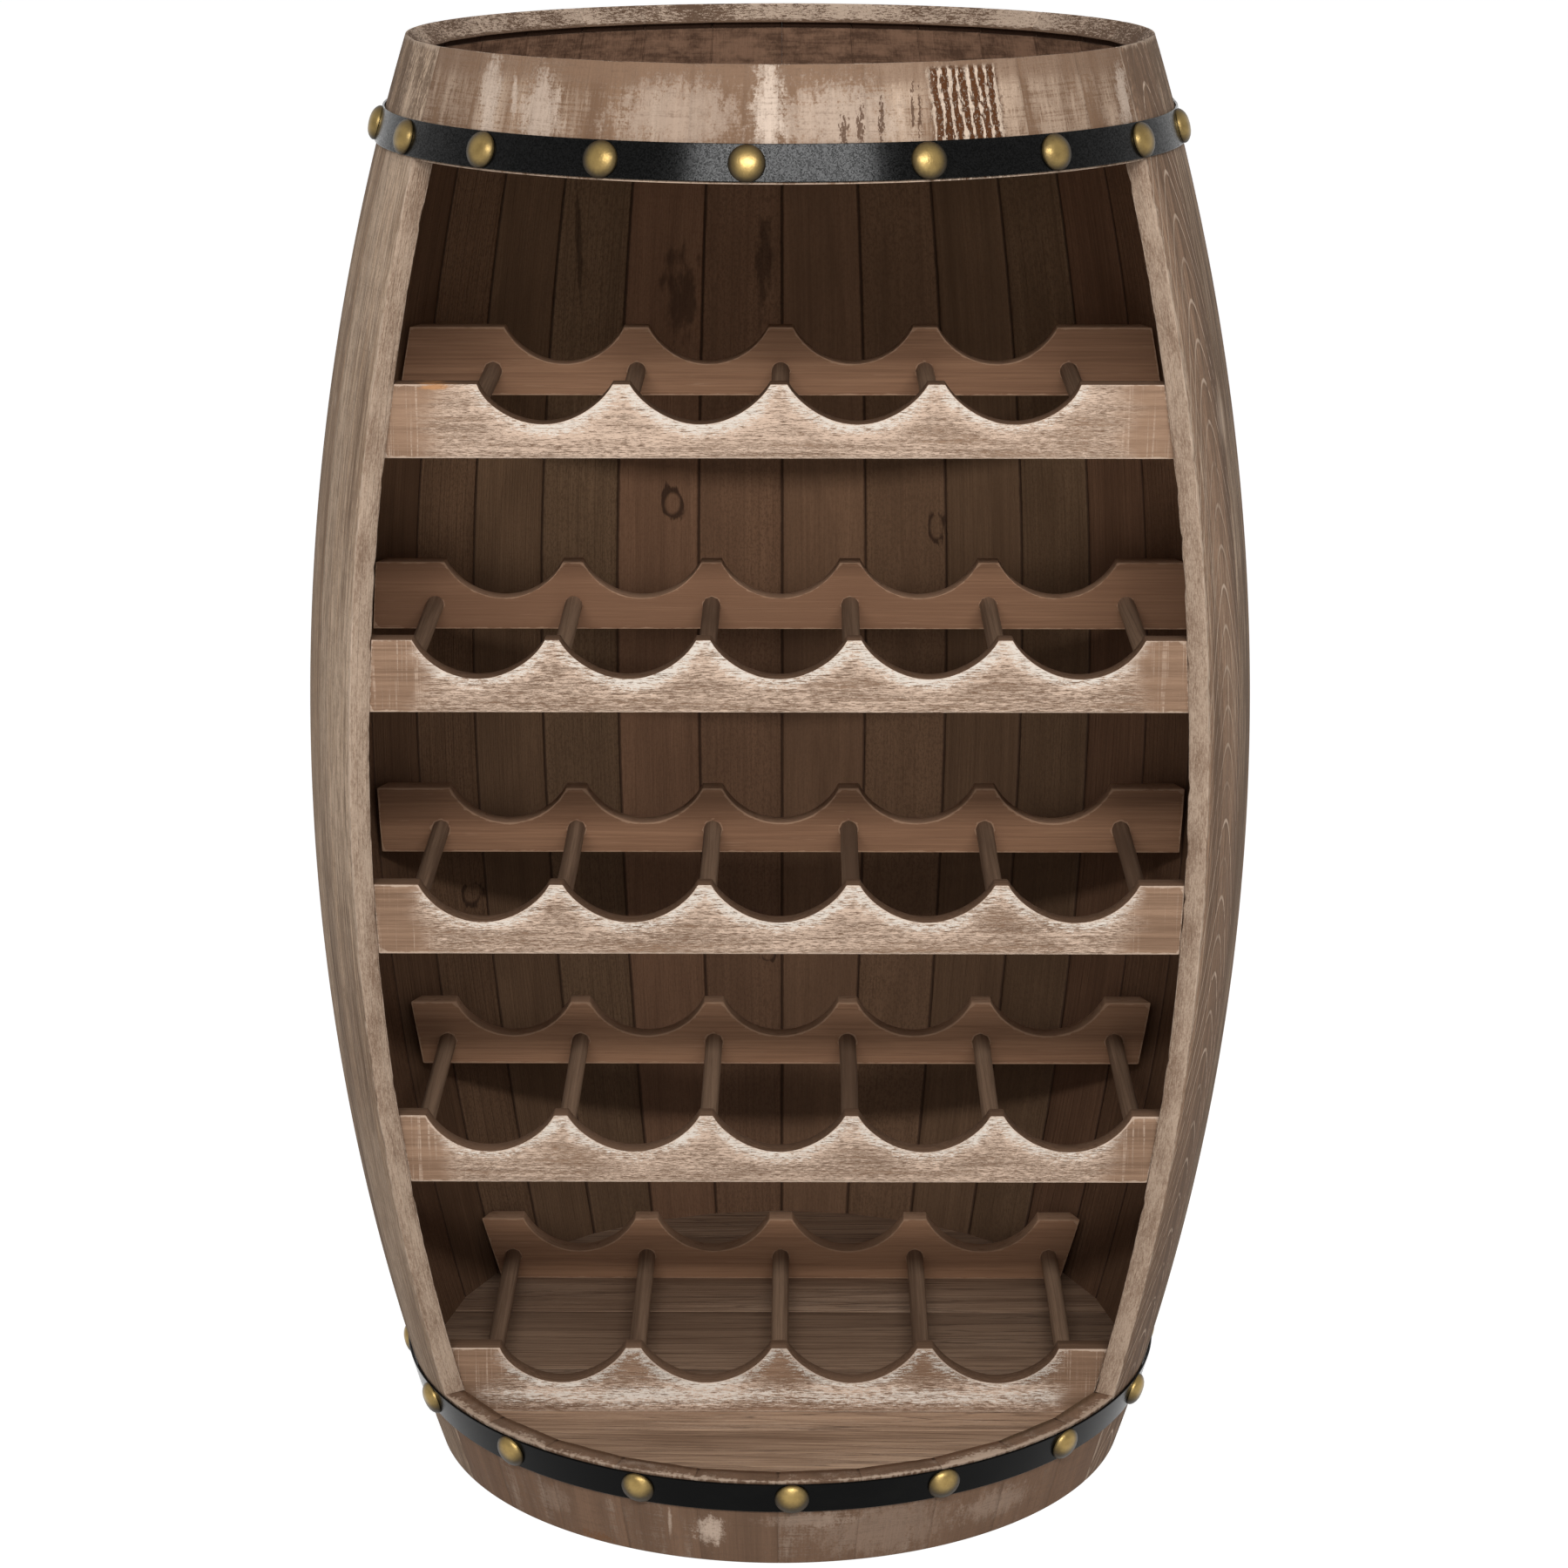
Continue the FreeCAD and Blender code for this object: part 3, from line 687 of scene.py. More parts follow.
# the short staves that close the rings over and under the opening
ringWood = {
    "top": {
        **staveWood, "mid": (0.3, 0.185, 0.115), "dark": (0.165, 0.094, 0.056), "wash": (0.6, 0.44, 0.325),
        "band": (0.25, 0.153, 0.098), "bandFoot": 0.785, "rubbed": (0.73, 0.585, 0.475),
        "tick": (0.1, 0.05, 0.028), "rust": (0.105, 0.037, 0.012), "rustPale": (0.7, 0.55, 0.43),
        "rustAngles": (-69.6, -57.2), "rustPitch": 0.0053, "rustLevel": 0.78, "rustTop": (0.7955, 0.7985),
        # each mark: centre, size, strength
        "rubs": [
            ((-0.0046, -0.2263, 0.778), (0.009, 0.05, 0.035), 0.85),
            ((-0.1438, -0.1683, 0.778), (0.0075, 0.012, 0.06), 0.7),
            ((-0.131, -0.18, 0.778), (0.002, 0.006, 0.06), 0.6),
            ((-0.118, -0.1916, 0.7736), (0.014, 0.02, 0.025), 0.6),
            ((-0.0491, -0.2207, 0.775), (0.04, 0.05, 0.022), 0.38),
            ((0.03, -0.2265, 0.774), (0.04, 0.05, 0.022), 0.5),
            ((0.1747, -0.1316, 0.7764), (0.006, 0.01, 0.03), 0.7),
        ],
        "ticks": [
            ((0.0321, -0.2268, 0.7685), (0.0022, 0.03, 0.008)),
            ((0.0401, -0.2248, 0.7715), (0.0022, 0.03, 0.011)),
            ((0.0503, -0.2224, 0.7734), (0.0014, 0.03, 0.012)),
            ((0.0655, -0.217, 0.7765), (0.001, 0.03, 0.014)),
            ((0.0691, -0.2154, 0.7765), (0.001, 0.03, 0.014)),
        ],
    },
    "foot": {
        **staveWood, "mid": (0.26, 0.155, 0.098), "dark": (0.13, 0.077, 0.049), "wash": (0.5, 0.37, 0.28),
        "band": (0.2, 0.125, 0.083), "bandFoot": 0.9, "rubbed": (0.6, 0.46, 0.36),
        "tick": (0.2, 0.1, 0.05), "rustAngles": None,
        "rubs": [
            ((-0.0365, -0.2236, 0.0215), (0.01, 0.05, 0.0125), 0.95),
            ((-0.0584, -0.2198, 0.025), (0.0012, 0.03, 0.012), 0.6),
            ((-0.1226, -0.1866, 0.0212), (0.012, 0.02, 0.012), 0.2),
            ((0.12, -0.19, 0.02), (0.03, 0.03, 0.012), 0.3),
            ((0.02, -0.226, 0.03), (0.03, 0.03, 0.006), 0.3),
            ((0.06, -0.22, 0.02), (0.05, 0.04, 0.025), 0.22),
        ],
        "ticks": [((-0.0985, -0.1952, 0.003), (0.012, 0.03, 0.0035))],
    },
}


def ringFinish(name, look):
    wood = Wood(name, look)
    place = wood.place()
    east, north, level = wood.split(place)
    wood.stain(0.15, 0.7, 0.4)
    # the wash is brushed round the ring, over upright patches that differ from stave to stave
    upright = wood.figure(70, 12)
    weave = wood.figure(34, 800, 5, 0.72)
    yarn = wood.figure(900, 70, 4, 0.7)
    grit = wood.figure(700, 700, 3, 0.7)
    pale = (upright * 1.1 + weave * 0.8 + yarn * 0.6 + grit * 0.5 + wood.wash * 0.45).ease(1.6, 2.05)
    wood.lay(pale, "wash")
    underRim = (level + weave.sway(0.016)).ease(look["bandFoot"], look["bandFoot"] + 0.009)
    wood.lay(underRim * 0.7, "band")
    ragged = wood.figure(230, 110, 4, 0.68) * 0.4 + weave * 0.25 + grit * 0.35
    wood.mark("rubbed", 1.0, wood.blot, look["rubs"], place, ragged, 0.0, 0.6, 4.0)
    scrub = (weave * 0.5 + yarn * 0.25 + grit * 0.35).ease(0.52, 0.68)
    wood.lay(scrub * 0.5, "dark")
    chips = wood.figure(800, 330, 4, 0.7)
    wood.mark("tick", 0.85, wood.blot, look["ticks"], place, chips, 0.2, 0.4, 5.0)
    height = wood.fibre * 0.4 + wood.hair * 0.25 + pale * 0.4 + weave * 0.35
    if look["rustAngles"]:  # a planed-through patch, combed upright in rust and white
        first, last = (radians(angle) for angle in look["rustAngles"])
        bearing = (north - barrelAxis.y).math("ARCTAN2", east - barrelAxis.x)
        wave = wood.noise(place, (110, 110, 40), 3, 0.6)
        comb = (bearing * (turnedRadius(look["rustLevel"]) / look["rustPitch"]) + wave.sway(1.6)).part()
        tooth = ((comb - 0.5).size() + yarn.sway(0.7) + chips.sway(0.9)).ease(0.13, 0.21)
        tooth = tooth * (1 - (grit + chips.sway(0.6)).ease(0.56, 0.66) * 0.7)
        torn = bearing + ragged.sway(0.09)
        inPatch = (torn.ease(first, first + 0.03) * (1 - torn.ease(last - 0.03, last))
                   * (1 - (level + ragged.sway(0.008)).ease(*look["rustTop"])))
        combed = wood.mix(tooth, "rustPale", "rust")
        wood.lay(inPatch, wood.mix(scrub * 0.4, combed, "dark"))
        height = height - inPatch * tooth * 0.8
    return closeStave(wood, height, place)


def footNicks(co):
    return stave["footNicks"] if co.z > barrel["footRingTop"] - stave["footLip"] else 0.0


def ringEdge(co):
    outer = (co - barrelAxis).xy.length > turnedRadius(co.z) - stave["outerSkin"]
    toLip = min(abs(co.z - barrel["topRingFoot"]), abs(co.z - barrel["footRingTop"]))
    return outer and toLip < stave["wornLip"]


rings = {  # the cut stave, its nicks, wash, and how much the wash differs
    "top": (cutStave(staveBlank, "topShort", low=barrel["topRingFoot"]), lipNicks, 0.56, 1.0),
    "foot": (cutStave(staveBlank, "footShort", high=barrel["footRingTop"]), footNicks, 0.1, 0.4),
}
for ring, (master, nicks, wash, spread) in rings.items():
    name = f"{ring}RingStaves"
    copies = []
    for number in range(barrel["staves"] - barrel["longStaves"]):
        turn = firstAngle - (number + 1) * staveAngle
        made = copyOf(master, f"{name}{number}")
        wornStave(made, turn, 100 + number + 20 * (ring == "foot"), nicks)
        heart, slope = (swing(0.05), rolls.uniform(0.04, 0.14)), swing(0.03)
        grainOfStave(made, turn, 40 + number * 1.73 + 9 * (ring == "foot"), heart, slope,
                     swing(0.12), wash + swing(0.3) * spread,
                     edgeWear(made, stave["shortWear"], ringEdge))
        copies.append(made)
    fit(joinAll(copies, name), ringFinish(f"{ring}RingWash", ringWood[ring]),
        f"{ring}_short_staves")
    throwAway(master)
for master in (staveBlank, *masterStaves.values()):
    throwAway(master)
print("ring staves joined")

plankWood = {
    "edge": 0.0006, "dark": (0.205, 0.122, 0.077), "mid": (0.5, 0.33, 0.218), "wash": (0.65, 0.49, 0.37),
    "deep": (0.085, 0.05, 0.033), "ring": 0.0035, "waver": 0.004,
}


def plankFinish(name, look):
    wood = Wood(name, look)
    wood.stain(0.4, 1.0)
    # long dark grain lines
    vein = wood.figure(640, 11, 5, 0.7)
    wood.lay(vein.ease(0.56, 0.63) * 0.7, "deep")
    crack = 1 - (wood.figure(70, 5) - 0.5).size().ease(0.003, 0.016)
    wood.lay(crack * wood.cloud.ease(0.4, 0.6) * 0.6, "deep")
    stroke = wood.figure(900, 40, 4, 0.66)
    nap = wood.figure(1500, 500, 3, 0.65)
    brushed = (stroke * 0.7 + nap * 0.5 + wood.cloud * 0.8 + wood.wash * 0.3).ease(1.1, 1.5)
    wood.lay(brushed * 0.35, "wash")
    north, level = wood.split(wood.place())[1:]
    # painted shade: the floor planks are painted darker towards the back, behind the front board; the head
    # planks above are left alone
    paintedShadeBehind = north.ease(-0.13, -0.04) * (1 - level.ease(0.2, 0.4))
    wood.lay(paintedShadeBehind * 0.38, "deep")
    height = wood.fibre * 0.6 + wood.hair * 0.3 - wood.line * 0.3 - vein * 0.4
    return wood.matt(height)


plankStain = plankFinish("plankStain", plankWood)
for level in ("head", "floor"):
    for number in range(1, 6):
        node = f"{level}_plank_{number}"
        made = nodeCopy(node, f"{level}Plank{number}")
        roundEdges(made, plankWood["edge"])
        low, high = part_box(node)
        heart = (swing(0.03), rolls.uniform(0.03, 0.09))
        grain = [(v.co.y - (low.y + high.y) / 2 - heart[0], high.z - v.co.z + heart[1], v.co.x)
                 for v in made.data.vertices]
        paintWood(made, grain, (70 + number * 1.31 + 9 * (level == "head"), swing(0.03),
                                swing(0.08)), [(0.0, 0.5, 0.0)] * len(grain))
        fit(made, plankStain, node)
print("planks laid")

# the scalloped boards that carry the bottles
board = {
    "edge": 0.0007, "grid": 0.004, "endReach": 0.06, "notchReach": 0.014, "wearReach": 0.0025,
    "notchMargin": 0.004, "frontSkin": 0.0004,  # what counts as the notched front edge
    "dark": (0.2, 0.118, 0.073), "mid": (0.37, 0.232, 0.15), "wash": (0.72, 0.535, 0.41),
    "bare": (0.2, 0.118, 0.074), "worn": (0.7, 0.54, 0.42), "deep": (0.13, 0.074, 0.045),
    "orange": (0.55, 0.26, 0.1), "orangeSpots": [((-0.179, -0.135, 0.6275), (0.011, 0.03, 0.0032))],
    "paleKnots": [((-0.0757, -0.135, 0.5988), (0.006, 0.03, 0.0045))],
    "ring": 0.0032, "waver": 0.004,
    # wash and tone of each front board
    "rows": [(0.76, 0.05), (0.67, 0.0), (0.64, 0.0), (0.66, 0.0), (0.08, -0.12)],
    "whiteBand": (0.01, 0.012),  # height over the lowest board's foot, half its width
    "backTones": (-0.1, -0.28, -0.07, 0.14, 0.06), "white": (0.77, 0.705, 0.625),
    "slim": 0.36, "slimDepth": 0.02, "peakGap": 0.025, "peakReach": 0.024, "peakSkin": 1e-4,
    "backDark": (0.215, 0.111, 0.063), "backMid": (0.345, 0.189, 0.109), "backWorn": (0.5, 0.32, 0.21),
}


def frontBoardFinish(name, look):
    wood = Wood(name, look)
    place = wood.place()
    wood.stain(0.3, 1.2)
    # short dashes of wash in drifts, thicker along the notches
    dash = wood.figure(1900, 230)
    sweep = wood.figure(480, 16)
    film = wood.figure(60, 16)
    grit = wood.figure(2400, 900, 2, 0.6)
    nearNotch = 1 - wood.joint.ease(0.0, look["notchReach"])
    coat = (dash * 1.1 + sweep * 0.6 + film * 0.6 + grit * 0.5 + nearNotch * 0.2
            + wood.wash * 0.45 + wood.inner * 0.5).ease(1.42, 1.9)
    # towards the ends the wash thins out and is crossed by upright brush strokes
    cross = wood.figure(14, 620, 3, 0.65)
    tail = wood.figure(700, 40, 3, 0.65)
    atEnds = (wood.chime + film.sway(0.8)).ease(0.25, 0.6)
    upright = cross.ease(0.54, 0.68) * tail.ease(0.3, 0.6) * 0.55
    facing = wood.split(wood.node("NewGeometry", out="Normal"))[1]
    onFace = (facing * -1.0).ease(0.55, 0.9)
    coat = coat * (1 - atEnds) + upright * atEnds
    wood.lay(coat * 0.92, "wash")
    limed = (nearNotch.math("MAXIMUM", wood.inner * 1.1) + dash.sway(2.2) + grit.sway(1.2)
             + film.sway(1.2)).ease(0.75, 1.0)
    wood.lay(limed * (1 - atEnds) * 0.85, "white")
    gap = 1 - (dash * 0.6 + wood.hair * 0.5 - 0.05).ease(0.38, 0.46)
    wood.lay(gap * (1 - atEnds * 0.8) * 0.75, "dark")
    ragged = wood.figure(300, 90, 3, 0.65)
    wood.mark("dark", 0.5, wood.knot, look["paleKnots"], place, ragged)
    bare = wood.mix((wood.fibre + (wood.cloud - 0.5)).ease(0.35, 0.65), "deep", "bare")
    wood.colour = wood.mix(onFace, bare, wood.colour)
    rubbed = (wood.wear + wood.fleck.sway(0.9)).ease(0.75, 1.0) * onFace.ease(0.05, 0.3)
    wood.lay(rubbed * 0.6, "worn")
    wood.mark("orange", 0.75, wood.blot, look["orangeSpots"], place, ragged, 0.1, 0.8, 3.0)
    height = wood.fibre * 0.4 + wood.hair * 0.3 + coat * onFace * 0.6 + dash * 0.3
    return wood.matt(height, roughness=0.62 + coat * 0.14)


def backBoardFinish(name, look):
    wood = Wood(name, look)
    wood.stain(0.25, 0.9, dark="backDark", mid="backMid")
    scratch = wood.figure(900, 30, 2, 0.6).ease(0.68, 0.74)
    wood.lay(scratch * 0.25, "backWorn")
    rubbed = (wood.wear + wood.fleck.sway(0.8)).ease(0.78, 1.0)
    wood.lay(rubbed * 0.55, "backWorn")
    height = wood.fibre * 0.5 + wood.hair * 0.3 - wood.line * 0.2
    return wood.matt(height, 0.0005, 0.6 + wood.fibre * 0.15)


def gridCut(piece, spacing):
    # cuts across the front and back, so that wear and grain have points to sit on
    openEdit(piece)
    for way, normal in ((0, Vector((1, 0, 0))), (2, Vector((0, 0, 1)))):
        reach = [v.co[way] for v in piece.data.vertices]
        low, high = min(reach), max(reach)
        count = int((high - low) / spacing)
        for step in range(1, count + 1):
            saw(normal * (low + step * (high - low) / (count + 1)), normal)
    closeEdit()


def slimPeaks(piece, high):
    # the peaks between the notches are pared narrower towards their tops
    tops = clusters([v.co.x for v in piece.data.vertices if v.co.z > high.z - board["peakSkin"]],
                    board["peakGap"])
    for v in piece.data.vertices:
        peak = min(tops, key=lambda x: abs(x - v.co.x))
        near = max(0.0, 1 - (high.z - v.co.z) / board["slimDepth"])
        if peak not in (tops[0], tops[-1]) and abs(v.co.x - peak) < board["peakReach"]:
            v.co.x = peak + (v.co.x - peak) * (1 - board["slim"] * near * near)


def notchEdge(piece, low, high):
    # the front edge of the notched upper outline
    margin = board["notchMargin"]
    return treeOf([v.co.copy() for v in piece.data.vertices if v.co.z > low.z + margin
                   and low.x + margin < v.co.x < high.x - margin and v.co.y < low.y + board["frontSkin"]])


boardFinishes = {"front": frontBoardFinish("frontBoardWash", board),
                 "back": backBoardFinish("backBoardStain", board)}
for row in range(1, 6):
    for side in ("front", "back"):
        node = f"rack_{side}_{row}"
        made = nodeCopy(node, f"{side}Board{row}")
        low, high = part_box(node)
        if side == "front":
            slimPeaks(made, high)
        roundEdges(made, board["edge"])
        notches = notchEdge(made, low, high)
        gridCut(made, board["grid"])
        wear = edgeWear(made, board["wearReach"], lambda co: True)
        heart = (swing(0.02), rolls.uniform(0.03, 0.08))
        seed = 90 + row * 2.17 + 5 * (side == "back")
        slope, tone = swing(0.02), swing(0.08)
        wash, shade = board["rows"][row - 1]
        if side == "back":
            shade = board["backTones"][row - 1]
        bandLevel, bandReach = board["whiteBand"]
        grain, touch, seam = [], [], []
        for v, rubbed in zip(made.data.vertices, wear):
            grain.append((v.co.z - (low.z + high.z) / 2 - heart[0], v.co.y - low.y + heart[1], v.co.x))
            toEnd = min(v.co.x - low.x, high.x - v.co.x)
            band = max(0.0, 1 - abs(v.co.z - low.z - bandLevel) / bandReach)
            touch.append((rubbed, wash, band if node == "rack_front_5" else 0.0))
            seam.append((notches.find(v.co)[2], min(1.0, max(0.0, 1 - toEnd / board["endReach"])), 0.0))
        paintWood(made, grain, (seed, slope, tone + shade), touch, seam)
        fit(made, boardFinishes[side], node)
print("scalloped boards cut")

rodWood = {
    "radius": 0.005, "sides": 24, "edge": 0.0006, "cuts": 24, "rodGap": 0.02, "heart": (0.02, 0.03),
    "sharpTurn": 1.0, "longEdge": 0.1,
    "wobble": 0.0004, "wobbleScale": (14, 12),  # out of round sideways and upwards, along the rod
    "dark": (0.165, 0.1, 0.064), "mid": (0.33, 0.214, 0.14), "ring": 0.002, "waver": 0.003,
}


def rodFinish(name, look):
    wood = Wood(name, look)
    wood.stain(0.4)
    height = wood.fibre * 0.6 + wood.hair * 0.4
    return wood.matt(height, 0.0005)


rodStain = rodFinish("rodStain", rodWood)
for row in range(1, 6):
    node = f"rack_rods_{row}"
    low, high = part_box(node)
    middle = (low + high) / 2
    middles = clusters([v.co.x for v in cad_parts[node].data.vertices], rodWood["rodGap"])
    rods = []
    for index, x in enumerate(middles):
        rod = add(f"rod{row}{index}", bpy.ops.mesh.primitive_cylinder_add, vertices=rodWood["sides"],
                  radius=rodWood["radius"], depth=high.y - low.y, location=(x, middle.y, middle.z),
                  rotation=(pi / 2, 0, 0))
        settle(rod)
        openEdit(rod)
        selectWhere(rod, "edges", lambda e: e.calc_face_angle(0) > rodWood["sharpTurn"])
        bpy.ops.mesh.bevel(offset=rodWood["edge"], segments=2, affect="EDGES")
        selectWhere(rod, "edges", lambda e: abs(e.verts[0].co.y - e.verts[1].co.y) > rodWood["longEdge"])
        bpy.ops.mesh.subdivide(number_cuts=rodWood["cuts"])
        closeEdit()
        for v in rod.data.vertices:  # whittled a little out of round
            sideways, upwards = (v.co.y * scale for scale in rodWood["wobbleScale"])
            v.co.x += clouds.noise(Vector((x * 40, sideways, row))) * rodWood["wobble"]
            v.co.z += clouds.noise(Vector((x * 40 + 9, upwards, row))) * rodWood["wobble"]
        heart = rodWood["heart"]
        grain = [(v.co.x - x + heart[0], v.co.z - middle.z + heart[1], v.co.y) for v in rod.data.vertices]
        paintWood(rod, grain, (120 + row * 3.3 + index * 1.7, 0.01, swing(0.15)),
                  [(0.0, 0.3, 0.0)] * len(grain))
        rods.append(rod)
    fit(joinAll(rods, f"rackRods{row}"), rodStain, node)
print("rods turned")

bandShape = {"sides": 180, "thickness": 0.0012, "fit": 0.0001, "edge": 0.0003,
             "black": (0.002, 0.002, 0.0019), "scuff": (0.006, 0.0057, 0.005)}


def bandFinish(name, look):
    # powder-coated: a fine sparkling grain
    paint = Finish(bpy.data.materials.new(name), look)
    place = paint.place()
    grit = paint.noise(place, (1500, 1500, 1500), 2, 0.6)
    cells = paint.node("TexVoronoi", {"Vector": place, "Scale": 1600.0}, out="Color")
    flake = paint.split(cells)[0]
    smear = paint.noise(place, (30, 30, 60), 3, 0.6)
    colour = paint.mix(smear.ease(0.45, 0.8) * 0.5, "black", "scuff")
    roughness = 0.13 + smear * 0.05 + flake.sway(0.1)
    sparkle = flake.ease(0.0, 1.0) * 0.72 * paint.split(place)[2].ease(0.1, 0.3)  # the foot's hoop is duller
    return paint.surface(colour, roughness, grit, 0.00005, {
        "Specular IOR Level": 0.05, "Coat Weight": sparkle, "Coat IOR": 1.22, "Coat Roughness": 0.17})


bandPaint = bandFinish("blackBandPaint", bandShape)
for word in ("top", "foot"):
    node = f"{word}_hoop"
    low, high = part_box(node)
    band = add(f"{word}Band", bpy.ops.mesh.primitive_cylinder_add, vertices=bandShape["sides"], radius=1.0,
               depth=high.z - low.z, end_fill_type="NOTHING", location=(0, 0, (low.z + high.z) / 2))
    settle(band)
    openEdit(band)
    for level in (low.z, high.z):  # each edge follows the taper of the staves under it
        selectWhere(band, "verts", lambda v: abs(v.co.z - level) < slack)
        size = jointRadius(level) + bandShape["fit"]
        bpy.ops.transform.resize(value=(size, size, 1), center_override=(0, 0, level))
    selectAll()
    bpy.ops.transform.translate(value=barrelAxis)
    bpy.ops.mesh.normals_make_consistent(inside=False)
    closeEdit()
    applyModifier(band, "SOLIDIFY", thickness=bandShape["thickness"], offset=1.0)
    roundEdges(band, bandShape["edge"], 40)
    fit(band, bandPaint, node, smooth=12)
print("hoops bent")

nailShape = {
    "radius": 0.00925, "sides": 32,
    "rings": [(1.0, 0.0009), (0.985, 0.0013), (0.93, 0.0021), (0.82, 0.0031), (0.66, 0.004),
              (0.47, 0.0046), (0.25, 0.0049), (0.08, 0.005)],  # share of the radius, height
    # dark is the painted shade away from each dome's painted bright spot; dull is the patina
    "brass": (0.325, 0.225, 0.083), "dull": (0.185, 0.122, 0.043), "dark": (0.034, 0.023, 0.01),
    "bareAngle": 8, "nailGap": 4,  # degrees
    # size of each dome's painted highlight, and how far it is painted leaning to the front and upwards
    "paintedHighlightShare": 0.24, "highlightLeanFront": 0.42, "highlightLeanUp": {"top": 0.12, "foot": 0.4},  # shares of the radius
}


def nailFinish(name, look):
    brass = Finish(bpy.data.materials.new(name), look)
    place = brass.place()
    patina = brass.noise(place, (160, 160, 160), 4, 0.65)
    grit = brass.noise(place, (900, 900, 900), 2, 0.6)
    rim = brass.split(brass.attribute("rim"))[0]
    colour = brass.mix(patina.ease(0.4, 0.66) * 0.45, "brass", "dull")
    # painted shade: away from each dome's painted bright spot the brass turns dark, and a little less
    # metallic
    colour = brass.mix((rim + grit.sway(0.2)).ease(0.1, 1.05), colour, "dark")
    roughness = 0.27 + patina * 0.12 + rim * 0.12
    return brass.surface(colour, roughness, grit, 0.0001, {"Metallic": 1.0 - rim * 0.3})


def makeNail():
    nail = add("nail", bpy.ops.mesh.primitive_circle_add, vertices=nailShape["sides"],
               radius=nailShape["radius"], fill_type="NGON")
    openEdit(nail, "FACE")
    share, height = 1.0, 0.0
    for nextShare, nextHeight in nailShape["rings"]:
        bpy.ops.mesh.extrude_region_move(TRANSFORM_OT_translate={"value": (0, 0, nextHeight - height)})
        ratio = nextShare / share
        bpy.ops.transform.resize(value=(ratio, ratio, 1), center_override=(0, 0, nextHeight))
        share, height = nextShare, nextHeight
    bpy.ops.mesh.poke()
    closeEdit()
    cleanUp(nail)
    return nail


def paintedShineOfNail(nail, place, word, angle):
    # painted highlight and painted shade: the brightest spot of a dome is painted leaning to the front of
    # the barrel and upwards, towards the light, and the rest is painted dark
    sideways = Vector((-sin(angle), cos(angle), 0)) * (-cos(angle) * nailShape["highlightLeanFront"])
    spot = place.translation + (sideways + Vector((0, 0, nailShape["highlightLeanUp"][word]))) * nailShape["radius"]
    axis = Vector((cos(angle), sin(angle), 0))
    values = []
    for v in nail.data.vertices:
        offset = v.co - spot
        away = (offset - axis * offset.dot(axis)).length / nailShape["radius"]
        values.append((max(0.0, away - nailShape["paintedHighlightShare"]) / (1 - nailShape["paintedHighlightShare"]), 0, 0))
    setVectors(nail, "rim", values)


nailBrass = nailFinish("antiqueNailBrassPaintedShine", nailShape)
masterNail = makeNail()
for word in ("top", "foot"):
    node = f"{word}_hoop_nails"
    low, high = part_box(f"{word}_hoop")
    level = (low.z + high.z) / 2
    lean = atan2(jointRadius(low.z) - jointRadius(high.z), high.z - low.z)
    spots = [v.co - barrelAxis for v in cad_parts[node].data.vertices]
    # angles are counted from a bare stretch of the hoop, so that no nail is split at the start
    start = atan2(spots[0].y, spots[0].x) - radians(nailShape["bareAngle"])
    around = clusters([(atan2(p.y, p.x) - start) % (2 * pi) for p in spots],
                      radians(nailShape["nailGap"]))
    angles = [start + angle for angle in around]
    out = jointRadius(level) + bandShape["fit"] + bandShape["thickness"]
    copies = []
    for index, angle in enumerate(angles):
        place = (Matrix.Translation(barrelAxis) @ Matrix.Rotation(angle, 4, "Z")
                 @ Matrix.Translation((out, 0, level)) @ Matrix.Rotation(pi / 2 - lean, 4, "Y"))
        nail = copyOf(masterNail, f"{word}Nail{index}")
        nail.matrix_world = place
        settle(nail)
        paintedShineOfNail(nail, place, word, angle)
        copies.append(nail)
    fit(joinAll(copies, f"{word}BandNails"), nailBrass, node, smooth=60)
throwAway(masterNail)
print("nails set")

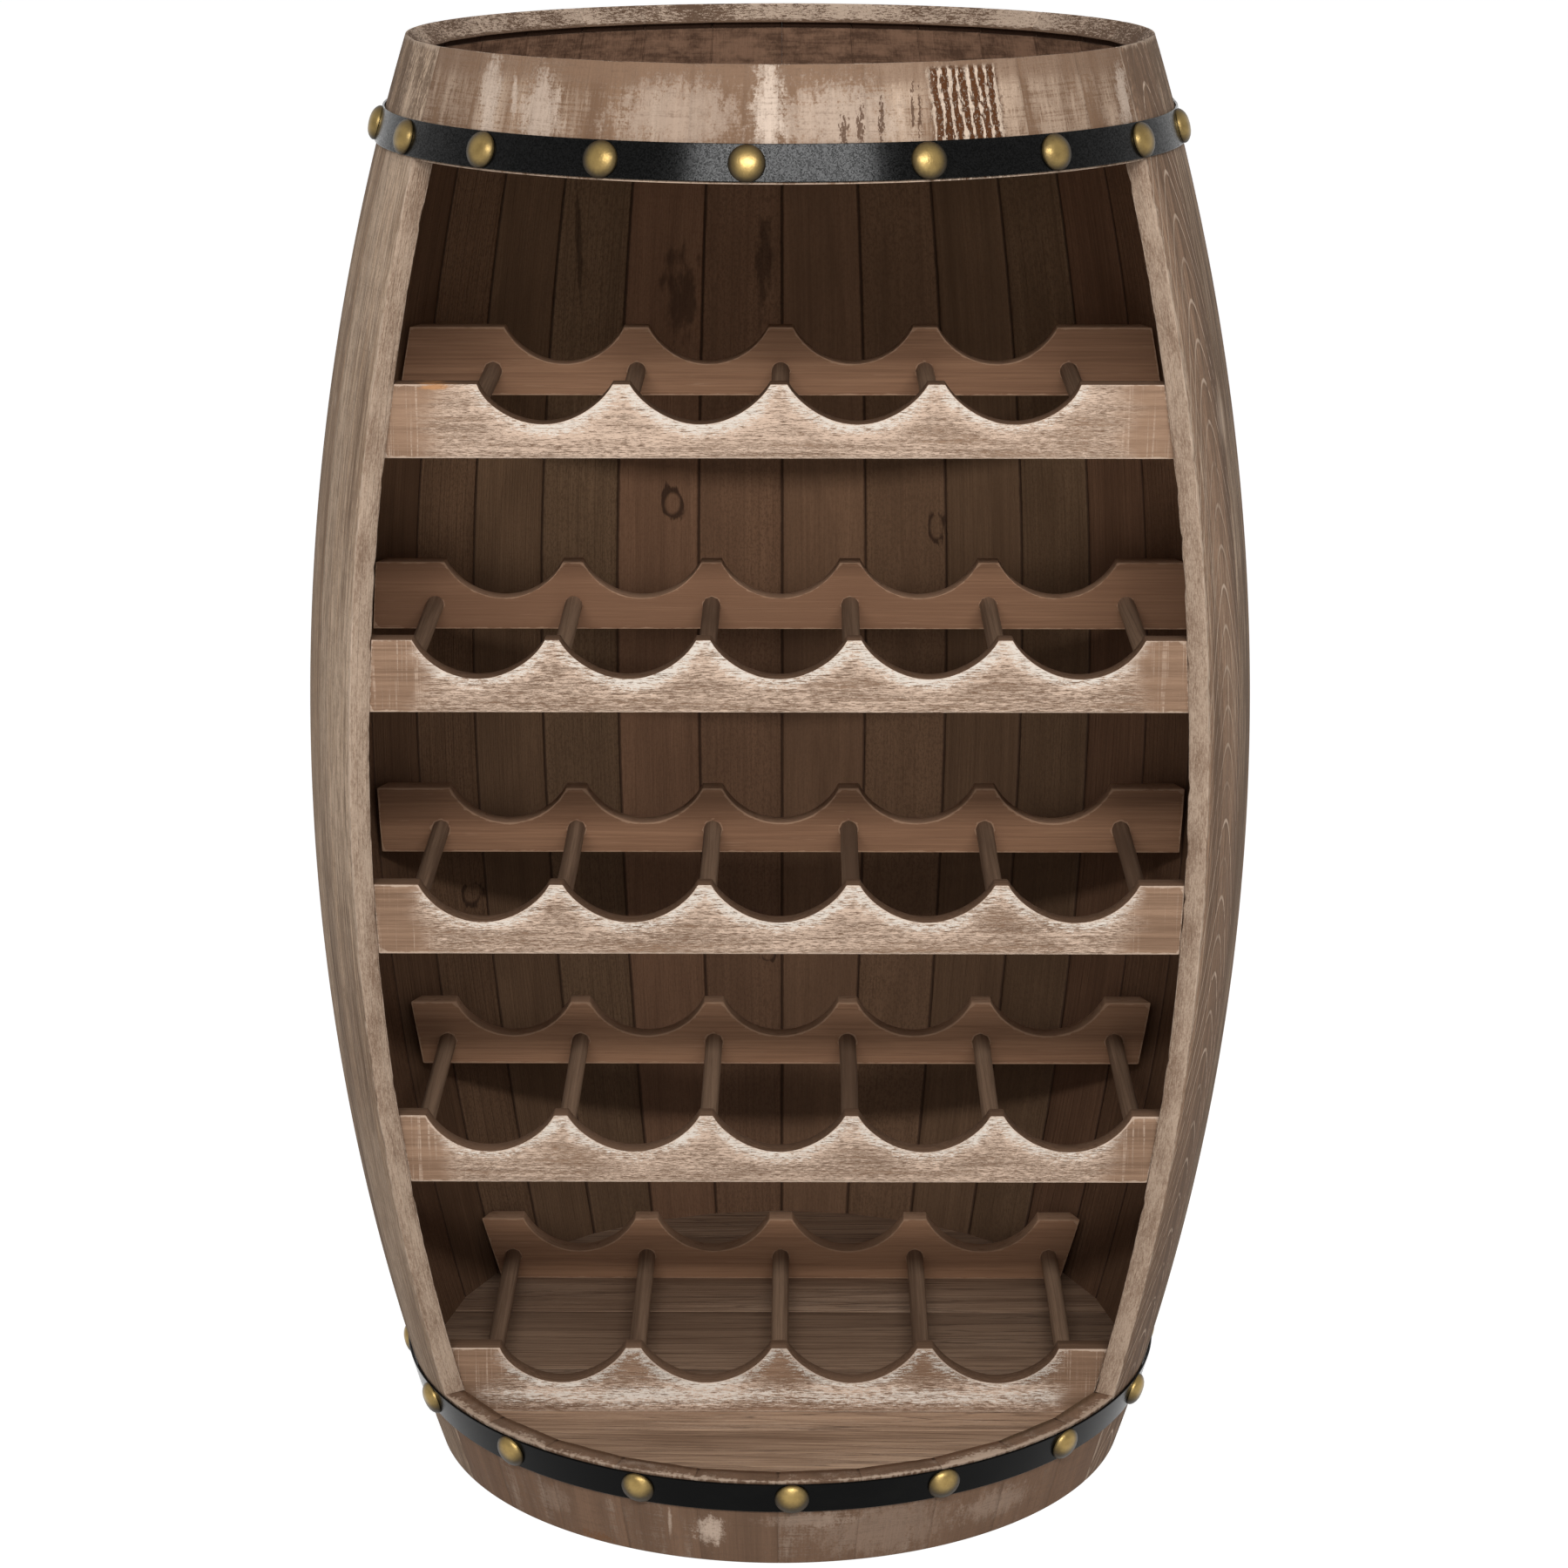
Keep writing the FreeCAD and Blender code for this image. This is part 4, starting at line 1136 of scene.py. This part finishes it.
studio = {
    "floorSize": 40.0, "floorLevel": -0.0005, "floorColour": (0.5, 0.5, 0.5), "floorGlow": 0.83,
    "worldLight": 0.46, "lookAt": (0.0, 0.0, 0.45),
    # power, size, place
    "lamps": {"key": (56.0, (2.4, 0.2), (0.05, -2.6, 1.91)), "front": (14.0, (1.5, 1.5), (0.0, -3.0, 0.95))},
}


def seenDirectly(finish):
    rays = finish.node("LightPath").socket.node.outputs
    return sum((Tint(finish, rays[word]) for word in ("Is Glossy Ray", "Is Transmission Ray")),
               Tint(finish, rays["Is Camera Ray"])).math("MINIMUM", 1.0)


floor = add("studioFloor", bpy.ops.mesh.primitive_plane_add, size=studio["floorSize"],
            location=(0, 0, studio["floorLevel"]))
paper = Finish(bpy.data.materials.new("paleStudioPaper"))
dull = paper.node("BsdfDiffuse", {"Color": (*studio["floorColour"], 1.0)})
glow = paper.node("Emission", {"Strength": seenDirectly(paper) * studio["floorGlow"]})
floor.data.materials.append(paper.close(paper.node("AddShader", {0: dull, 1: glow})))

sky = Finish(bpy.data.worlds.new("whiteStudio"))
dim = studio["worldLight"]
sky.close(sky.node("Background", {"Strength": seenDirectly(sky) * (1 - dim) + dim}), "OutputWorld")
scene.world = sky.owner

for word, (power, size, at) in studio["lamps"].items():
    lamp = add(word + "Softbox", bpy.ops.object.light_add, type="AREA", location=at)
    lamp.data.energy = power
    lamp.data.shape = "RECTANGLE"
    lamp.data.size, lamp.data.size_y = size
    lamp.rotation_euler = (Vector(studio["lookAt"]) - Vector(at)).to_track_quat("-Z", "Y").to_euler()

view = {"away": 2.068, "height": 0.965, "down": 15.75, "turn": 0.3,  # degrees
        "lens": 87.42, "film": 36.0, "shift": 4.5 / 1800}
turn = radians(view["turn"])
away = Vector((sin(turn), -cos(turn), 0)) * view["away"]
camera = add("photoCamera", bpy.ops.object.camera_add,
             location=barrelAxis + away + Vector((0, 0, view["height"])),
             rotation=(radians(90 - view["down"]), 0, turn))
camera.data.sensor_width = view["film"]
camera.data.lens = view["lens"]
camera.data.shift_x = view["shift"]
scene.camera = camera
print("studio set")

deselect()
